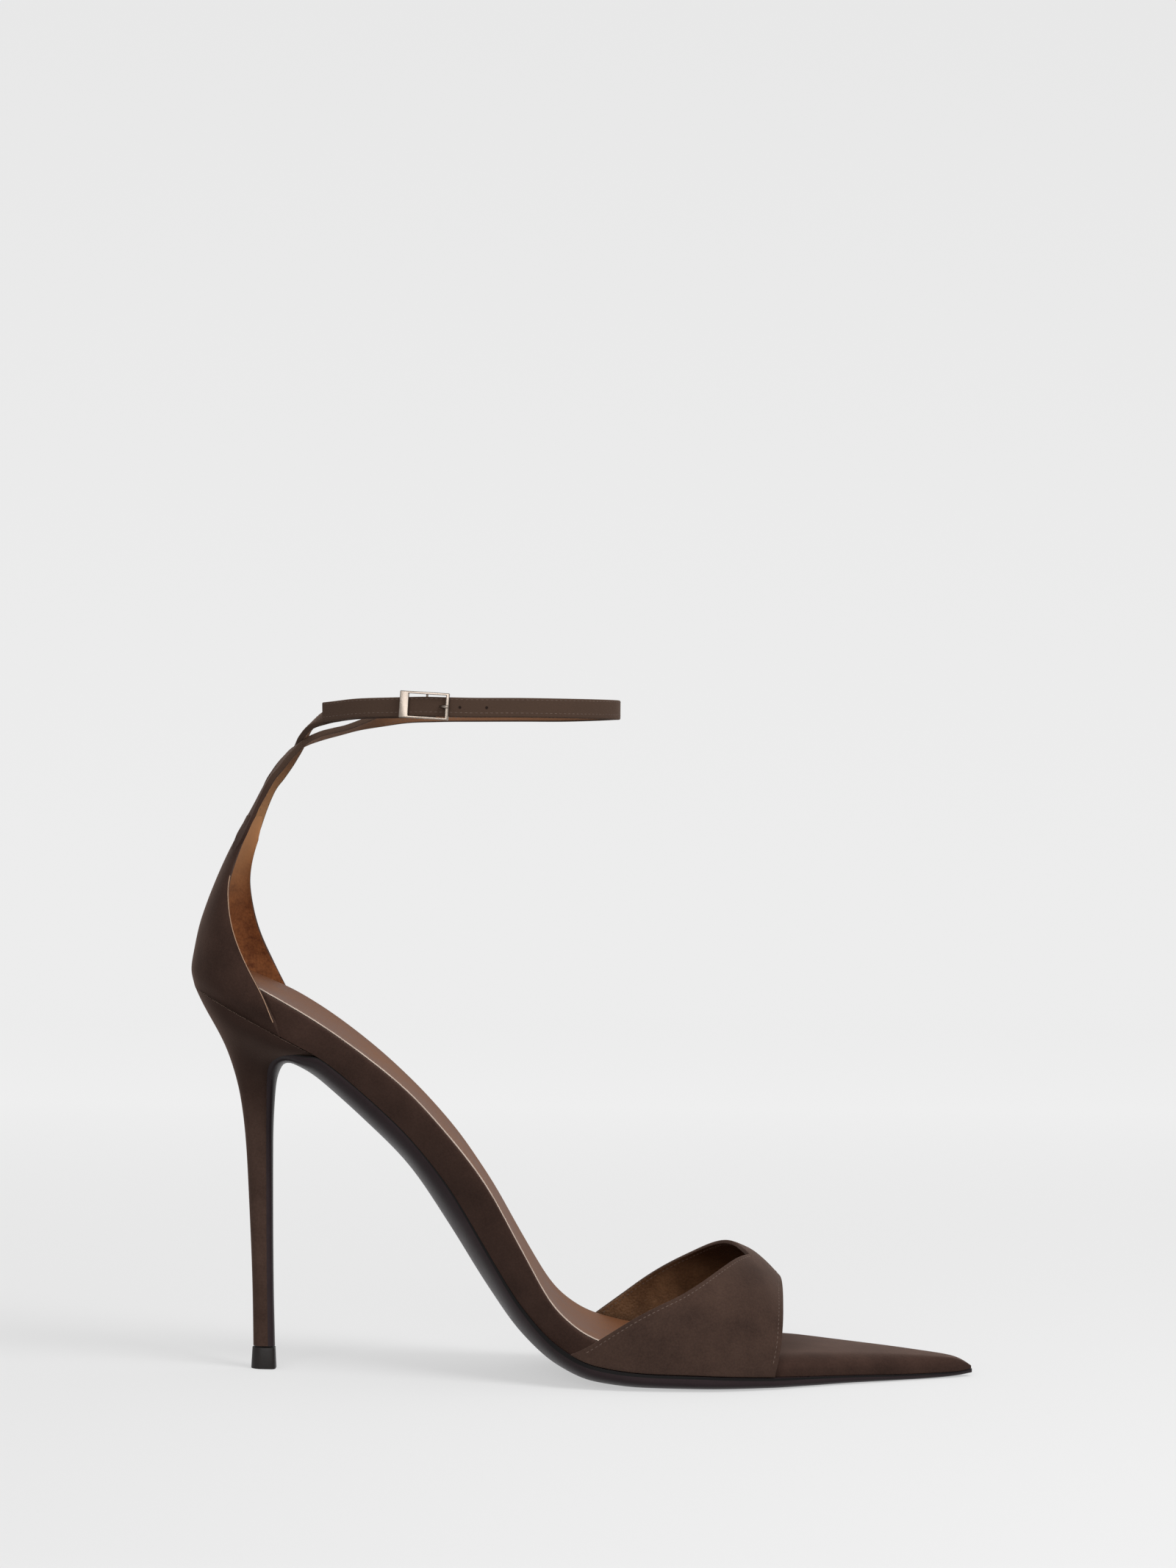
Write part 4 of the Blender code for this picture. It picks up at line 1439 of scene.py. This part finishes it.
@dataclass
class AnkleStraps:
    """The two straps that grow out of the counter, cross behind the ankle and go round it."""

    counter: Counter
    dress: Dress
    # Rows of a strap's middle line: place, and how far it leans in over the ankle in degrees.
    outer_route: Table = (
        (21.6, -8.0, 163.0, 4.0), (24.2, -6.8, 167.1, 14.0), (27.2, -5.4, 171.2, 24.0),
        (30.4, -3.2, 174.5, 40.0), (34.0, 0.6, 176.6, 54.0), (37.6, 6.0, 177.9, 62.0),
        (41.6, 11.2, 179.1, 66.0), (48.4, 16.4, 181.4, 58.0), (58.0, 21.2, 183.9, 22.0),
        (68.0, 23.8, 184.5, 4.0), (80.0, 24.6, 184.7, 0.0), (92.0, 22.4, 184.8, 0.0),
        (103.0, 17.0, 184.8, 0.0), (112.0, 9.0, 185.0, 0.0), (117.8, 0.6, 185.2, 0.0),
        (119.2, -5.4, 185.2, 0.0), (117.6, -12.6, 185.2, 0.0), (112.0, -20.4, 185.2, 0.0),
        (103.0, -27.0, 185.2, 0.0), (92.0, -31.0, 185.2, 0.0), (80.0, -32.4, 185.1, 0.0),
        (72.0, -31.9, 185.2, 0.0), (65.7, -30.8, 185.3, 0.0), (58.0, -28.8, 185.1, 0.0),
        (48.0, -24.0, 184.8, 0.0), (41.0, -18.3, 184.1, 0.0), (37.9, -14.8, 183.8, 0.0),
    )
    inner_route: Table = (
        (20.9, 8.6, 161.9, 10.0), (23.9, 7.4, 166.7, 24.0), (27.3, 5.6, 171.3, 26.0),
        (30.0, 2.6, 174.8, 26.0), (31.9, -3.0, 178.0, 34.0), (35.0, -8.8, 181.0, 42.0),
        (38.8, -12.8, 182.8, 30.0), (42.6, -15.8, 184.0, 8.0), (49.0, -22.0, 184.6, 0.0),
        (58.0, -26.4, 184.8, 0.0), (63.4, -27.4, 184.9, 0.0), (69.0, -28.4, 185.1, 0.0),
    )
    width: float = 5.4
    wall: float = 1.6
    corner: float = 0.4
    ankle_middle: Row = (62.0, -3.6)
    # The root: levels and depth in the counter's wall, and the middle that it turns round over a
    # length.
    root_levels: tuple[float, float] = (6.4, 7.3)
    root_depth: float = 0.52
    root_middle: Row = (36.0, -0.4)
    root_turn: float = 18.0
    # Its width: the share that it starts with, the length over which it gets full, and its spread.
    root_start: float = 0.5
    root_taper: float = 9.0
    root_spread: float = 1.2
    root_reach: float = 11.0
    # Its thickness: the share that is missing, how long it stays so and the length it grows over.
    root_thin: float = 0.42
    root_hidden: float = 9.0
    root_grow: float = 12.0
    stitches: StitchRow = StitchRow(length=0.85, width=0.2, height=0.1)
    seam_above: float = 0.55
    seam_below: float = 1.25
    spacing: float = 0.8
    across_parts: int = 8
    corner_parts: int = 4
    flat_share: float = 0.999
    hole_places: Row = (75.8, 83.3)
    hole_radius: float = 0.4
    hole_depth: float = 0.1
    hole_side: float = -24.4

    def build(self) -> None:
        """Make both straps and sew them."""
        thread = bmesh.new()
        for name, side, points in (
            ("outer_strap", Side.OUTER, self.outer_route), ("inner_strap", Side.INNER, self.inner_route),
        ):
            self.build_strap(name, self.full_route(side, points), thread)
        add_piece("strap_stitches", thread, pick(self.dress, "thread"), Slot.COUNTER)

    def full_route(self, side: Side, points: Table) -> list[Vector]:
        """Lay a strap's middle line, from inside the counter's wall.

        Args:
            side: The side of the counter that the strap grows out of.
            points: The strap's rows.

        Returns:
            The line's points, with the lean as a fourth value.
        """
        root = []
        for level in self.root_levels:
            outside = self.counter.point(level, side.value * self.counter.strap_turn)
            inward = Vector((self.ankle_middle[0] - outside.x, self.ankle_middle[1] - outside.y, 0.0))
            root.append((*(outside + inward.normalized() * self.root_depth), 0.0))
        return route([*root, *points], self.spacing)

    def frames(self, line: Sequence[Vector], leans: Sequence[float]) -> list[tuple[Vector, Vector]]:
        """Work out how a strap lies, from its end back to its root, so that it never flips.

        Args:
            line: The strap's middle line.
            leans: How far it leans in over the ankle at each point, in degrees.

        Returns:
            The directions across the strap and outward from the ankle at each point.
        """
        made = []
        last = Vector((0.0, 0.0, 1.0))
        for i, place in reversed(list(enumerate(line))):
            along = (line[min(i + 1, len(line) - 1)] - line[max(i - 1, 0)]).normalized()
            near = math.exp(-((i * self.spacing) / self.root_turn) ** 2)
            middle = Vector(self.ankle_middle).lerp(Vector(self.root_middle), near)
            away = Vector((place.x - middle.x, place.y - middle.y, 0.0))
            across = away.cross(along).normalized()
            across = across if across.dot(last) > 0.0 else -across
            last = across
            out = along.cross(across).normalized()
            out = out if out.dot(away) > 0.0 else -out
            angle = math.radians(leans[i])
            made.append((
                across * math.cos(angle) - out * math.sin(angle),
                out * math.cos(angle) + across * math.sin(angle),
            ))
        return made[::-1]

    def build_strap(self, name: str, points: Sequence[Vector], thread: bmesh.types.BMesh) -> None:
        """Make one strap as a ribbon with a suede face, a tan back and turned edges, and sew it.

        Args:
            name: The strap's name.
            points: Its middle line, with the lean as a fourth value.
            thread: The bmesh that takes the stitches.
        """
        line = [point.to_3d() for point in points]
        frames = self.frames(line, [point[3] for point in points])
        outline = self.outline()
        count = len(outline)

        def place(u: float, v: float) -> Vector:
            """Point of the ribbon's skin.

            Args:
                u: Number of the point of its line.
                v: Number of the point of its outline.

            Returns:
                The point.
            """
            i, (across, out) = int(u), outline[int(v) % count]
            near = math.exp(-((i * self.spacing) / self.root_reach) ** 2)
            taper = min(self.root_start + i * self.spacing / self.root_taper, 1.0)
            wide = across * (self.width + self.root_spread * near) / 2.0 * taper
            return line[i] + frames[i][0] * wide + frames[i][1] * out * self.half_wall(i)

        def finish(column: int) -> int:
            """Tan lining on the flat towards the ankle, suede all round it."""
            return int(max(outline[column][1], outline[(column + 1) % count][1]) < -self.flat_share)

        ribbon = patch(range(len(line)), range(count + 1), place, ring=True, finish=finish)
        add_piece(name, ribbon, pick(self.dress, "strap_suede", "strap_lining"), Slot.COUNTER)
        if name == "outer_strap":
            self.punch(line, frames)
        first = round(self.root_reach / self.spacing)
        for across in (self.width / 2.0 - self.seam_above, self.seam_below - self.width / 2.0):
            for face in (-1.0, 1.0):
                seam = [
                    line[i] + frames[i][0] * across + frames[i][1] * face * self.half_wall(i)
                    for i in range(first, len(line))
                ]
                normals = [frames[i][1] * face for i in range(first, len(line))]
                self.stitches.sew(thread, seam, normals)

    def half_wall(self, i: int) -> float:
        """Half of a strap's thickness, less where it hides in the counter's wall.

        Args:
            i: Number of the point of its line.

        Returns:
            Half of the thickness.
        """
        grown = min(max((i * self.spacing - self.root_hidden) / self.root_grow, 0.0), 1.0)
        thin = self.root_thin * (1.0 - grown * grown * (3.0 - 2.0 * grown))
        return self.wall * (1.0 - thin) / 2.0

    def punch(self, line: Sequence[Vector], frames: Sequence[tuple[Vector, Vector]]) -> None:
        """Mark the spare holes beside the buckle as dark round spots on the strap's face.

        Args:
            line: The strap's middle line.
            frames: The directions across the strap and outward at each point.
        """
        # The dark spots are painted shade for the hollows of the holes.
        made = bmesh.new()
        outside = [i for i, point in enumerate(line) if point.y < self.hole_side]
        for place in self.hole_places:
            i = min(outside, key=lambda i: abs(line[i].x - place))
            turn = frames[i][1].to_track_quat("Z", "Y").to_matrix().to_4x4()
            at = Matrix.Translation(line[i] + frames[i][1] * self.wall / 2.0)
            bmesh.ops.create_cone(
                made, cap_ends=True, segments=24, radius1=self.hole_radius, radius2=self.hole_radius,
                depth=self.hole_depth, matrix=at @ turn,
            )
        add_piece("strap_holes", made, pick(self.dress, "hole_shade"), Slot.COUNTER)

    def outline(self) -> list[tuple[float, float]]:
        """Draw the ribbon's section, a flat with four rounded corners.

        Returns:
            Points round it, as shares of its half width and half wall.
        """
        half, thick = self.width / 2.0, self.wall / 2.0
        flat = half - self.corner
        made = []
        for turn, (sign_x, sign_y) in enumerate(((1.0, 1.0), (-1.0, 1.0), (-1.0, -1.0), (1.0, -1.0))):
            for angle in steps(turn * math.pi / 2.0, (turn + 1) * math.pi / 2.0, self.corner_parts):
                x = sign_x * flat + self.corner * math.cos(angle)
                y = sign_y * (thick - self.corner) + self.corner * math.sin(angle)
                made.append((x / half, y / thick))
            if turn in (0, 2):
                for x in steps(sign_x * flat, -sign_x * flat, self.across_parts)[1:-1]:
                    made.append((x / half, sign_y))
        return made


@dataclass
class Buckle:
    """The fastened buckle on the outer side: a frame with one wide bar, and its prong.

    Its own frame has x along the strap, -y outward and z up.
    """

    dress: Dress
    at: Row = (66.4, -30.9, 185.6)
    turn: float = math.radians(-9.5)
    tilt: float = math.radians(3.3)
    length: float = 13.8
    height: float = 7.4
    wide_bar: float = 2.5
    end_bar: float = 0.9
    rail: float = 0.65
    inner_face: float = 1.15
    outer_face: float = 2.05
    edge: float = 0.22
    sharp_angle: float = math.radians(60.0)
    bar_depth: float = 1.6
    bar_radius: float = 0.32
    bar_spacing: float = 0.35
    lug: float = 0.6
    # Rows of the prong: place along the strap and distance outward.
    prong_route: Table = (
        (1.0, -1.55), (2.2, -1.45), (3.7, -0.1), (5.0, 1.8), (6.0, 2.75), (6.9, 2.8),
    )
    prong_radius: float = 0.4
    prong_spacing: float = 0.25
    prong_sides: int = 14

    def build(self) -> None:
        """Make the frame, its bar under the strap and the prong."""
        metal = pick(self.dress, "plated_zinc")
        made = self.frame_ring()
        tall = (self.height - self.lug) / 2.0
        near, deep = -self.inner_face, self.bar_depth
        loop = [Vector((0.0, y, z)) for y, z in ((near, tall), (deep, tall), (deep, -tall), (near, -tall))]
        bar = tube(even_steps(loop, self.bar_spacing), self.bar_radius, (1.0, 0.0, 0.0))
        mesh = mesh_of("bar", bar)
        made.from_mesh(mesh)
        bpy.data.meshes.remove(mesh)
        self.place(made)
        add_piece("buckle_frame_polished", made, metal, Slot.BUCKLE, ["buckle_frame"])
        path = route([(along, -out, 0.0) for along, out in self.prong_route], self.prong_spacing)
        prong = tube(path, self.prong_radius, (0.0, 0.0, 1.0), self.prong_sides)
        self.place(prong)
        add_piece("buckle_prong_polished", prong, metal, Slot.PRONG, ["buckle_prong"])

    def frame_ring(self) -> bmesh.types.BMesh:
        """Make the flat frame with its window and rounded edges.

        Returns:
            The frame, in millimetres, in the buckle's own directions.
        """
        far, tall = self.length / 2.0, self.height / 2.0
        made = bmesh.new()
        bmesh.ops.create_grid(made, x_segments=1, y_segments=1, size=1.0)
        for vert in made.verts:
            x, z = math.copysign(far, vert.co.x), math.copysign(tall, vert.co.y)
            vert.co = Vector((x, -self.outer_face, z))
        made.normal_update()
        pane = made.faces[:]
        bmesh.ops.inset_region(made, faces=pane, thickness=self.rail, use_even_offset=True, use_boundary=True)
        for vert in pane[0].verts:
            bar = self.end_bar if vert.co.x > 0.0 else self.wide_bar
            vert.co.x = math.copysign(far - bar, vert.co.x)
        bmesh.ops.delete(made, geom=pane, context="FACES")
        pull(made, made.faces[:], (0.0, self.outer_face - self.inner_face, 0.0))
        bmesh.ops.recalc_face_normals(made, faces=made.faces)
        sharp = [edge for edge in made.edges if edge.calc_face_angle(0.0) > self.sharp_angle]
        round_off(made, sharp, self.edge)
        return made

    def place(self, made: bmesh.types.BMesh) -> None:
        """Set a piece of the buckle on the strap.

        Args:
            made: The piece, in the buckle's own directions.
        """
        where = Matrix.Translation(Vector(self.at)) @ Matrix.Rotation(self.turn, 4, "Z")
        where = where @ Matrix.Rotation(self.tilt, 4, "Y")
        bmesh.ops.transform(made, matrix=where, verts=made.verts)


@dataclass
class Studio:
    """Plain pale paper that curves up behind the shoe, soft light from above and the camera."""

    # Softboxes: name, place, size and power.
    softboxes: tuple[tuple[str, Row, float, float], ...] = (
        ("key_softbox", (640.0, -520.0, 720.0), 520.0, 6.2),
        ("front_softbox", (-250.0, -1250.0, 480.0), 700.0, 7.0),
    )
    aim: Row = (110.0, 0.0, 80.0)
    paper_albedo: float = 0.32
    near_glow: float = 0.45
    far_glow: float = 0.66
    near_y: float = -300.0
    far_y: float = 1050.0
    camera_at: Row = (111.1, -1280.0, 164.5)
    lens: float = 104.78
    sensor: float = 36.0
    clip_metres: tuple[float, float] = (0.05, 50.0)
    roll: float = math.radians(0.5)
    sweep_front: float = -2200.0
    sweep_back: float = 1800.0
    sweep_radius: float = 900.0
    sweep_height: float = 2600.0
    sweep_half: float = 2600.0
    sweep_drop: float = 0.02
    sweep_parts: int = 24
    sweep_columns: int = 4
    sky_above: float = 0.55
    sky_below: float = 0.22
    # Height over which the sky turns from one to the other, as a share of the whole.
    sky_blend: float = 0.3

    def build(self) -> None:
        """Make the backdrop, the lights and the camera."""
        self.backdrop()
        for softbox in self.softboxes:
            self.light(*softbox)
        self.skylight()
        self.camera()
        bpy.context.scene.view_settings.view_transform = "Standard"

    def skylight(self) -> None:
        """Light the room softly, more from above than from below."""
        world = bpy.data.worlds.new("studio")
        bpy.context.scene.world = world
        world.use_nodes = True
        tree = world.node_tree
        way = add_node(tree, "ShaderNodeTexCoord", {}).outputs["Generated"]
        height = add_node(tree, "ShaderNodeSeparateXYZ", {"Vector": way}).outputs["Z"]
        strength = add_node(
            tree, "ShaderNodeMapRange",
            {"Value": height, "From Min": -self.sky_blend, "From Max": self.sky_blend,
             "To Min": self.sky_below, "To Max": self.sky_above},
        )
        tree.links.new(strength.outputs["Result"], tree.nodes["Background"].inputs["Strength"])
        tree.nodes["Background"].inputs["Color"].default_value = (1.0, 1.0, 1.0, 1.0)

    def backdrop(self) -> None:
        """Make the sweep of paper as one sheet."""
        line = [Vector((0.0, y, 0.0)) for y in (self.sweep_front, self.sweep_back)]
        for angle in steps(0.0, math.pi / 2.0, self.sweep_parts)[1:]:
            rise = self.sweep_radius * (1.0 - math.cos(angle))
            line.append(Vector((0.0, self.sweep_back + self.sweep_radius * math.sin(angle), rise)))
        line.append(line[-1] + Vector((0.0, 0.0, self.sweep_height)))

        def place(u: float, v: float) -> Vector:
            """Point of the paper at a step of its line and a distance to the side."""
            return line[int(u)] + Vector((v, 0.0, -self.sweep_drop))

        columns = steps(-self.sweep_half, self.sweep_half, self.sweep_columns)
        made = patch(range(len(line)), columns, place)
        for vert in made.verts:
            vert.co = to_frame(vert.co)
        made.normal_update()
        if made.faces[0].normal.z < 0.0:
            bmesh.ops.reverse_faces(made, faces=made.faces)
        mesh = mesh_of("paper_sweep", made)
        mesh.shade_smooth()
        mesh.materials.append(self.paper())
        paper = bpy.data.objects.new("paper_sweep", mesh)
        paper.visible_diffuse = False
        bpy.context.scene.collection.objects.link(paper)

    def paper(self) -> bpy.types.Material:
        """Make the paper's matt white, which glows more towards the back so that it stays even.

        Returns:
            The material.
        """
        made = bpy.data.materials.new("matt_white_paper")
        made.use_nodes = True
        tree = made.node_tree
        shader = tree.nodes["Principled BSDF"]
        shader.inputs["Base Color"].default_value = (*[self.paper_albedo] * 3, 1.0)
        shader.inputs["Roughness"].default_value = 1.0
        shader.inputs["Specular IOR Level"].default_value = 0.0
        shader.inputs["Emission Color"].default_value = (1.0, 1.0, 1.0, 1.0)
        where = add_node(tree, "ShaderNodeTexCoord", {}).outputs["Object"]
        away = add_node(tree, "ShaderNodeSeparateXYZ", {"Vector": where}).outputs["Y"]
        glow = add_node(
            tree, "ShaderNodeMapRange",
            {"Value": away, "From Min": self.near_y * MM, "From Max": self.far_y * MM,
             "To Min": self.near_glow, "To Max": self.far_glow},
        )
        tree.links.new(glow.outputs["Result"], shader.inputs["Emission Strength"])
        return made

    def light(self, name: str, at: Row, size: float, power: float) -> None:
        """Hang a square softbox that faces the shoe.

        Args:
            name: Its name.
            at: Its place.
            size: Length of its sides.
            power: Its power in watts.
        """
        lamp = bpy.data.lights.new(name, "AREA")
        lamp.shape = "SQUARE"
        lamp.size = size * MM
        lamp.energy = power
        box = bpy.data.objects.new(name, lamp)
        box.location = to_frame(Vector(at))
        way = to_frame(Vector(self.aim)) - box.location
        box.rotation_euler = way.to_track_quat("-Z", "Y").to_euler()
        bpy.context.scene.collection.objects.link(box)

    def camera(self) -> None:
        """Set the camera level, as in the photograph, with its slight roll."""
        eye = bpy.data.cameras.new("camera")
        eye.lens = self.lens
        eye.sensor_width = self.sensor
        eye.clip_start, eye.clip_end = self.clip_metres
        camera = bpy.data.objects.new("camera", eye)
        turn = Matrix.Rotation(math.pi / 2.0, 4, "X") @ Matrix.Rotation(self.roll, 4, "Z")
        camera.matrix_world = Matrix.Translation(to_frame(Vector(self.camera_at))) @ turn
        bpy.context.scene.collection.objects.link(camera)
        bpy.context.scene.camera = camera


def main() -> None:
    """Build the shoe from the sole up, then the studio."""
    logging.basicConfig(level=logging.INFO, format="%(name)s: %(message)s")
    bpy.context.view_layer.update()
    dress = Wardrobe().make()
    last = Last()
    counter = Counter(last, dress)
    for piece in (
        Outsole(last, dress), Footbed(last, dress), Heel(last, dress), ToeBand(last, dress),
        counter, AnkleStraps(counter, dress), Buckle(dress), Studio(),
    ):
        piece.build()
        LOG.info("built %s", type(piece).__name__)


if __name__ == "__main__":
    main()
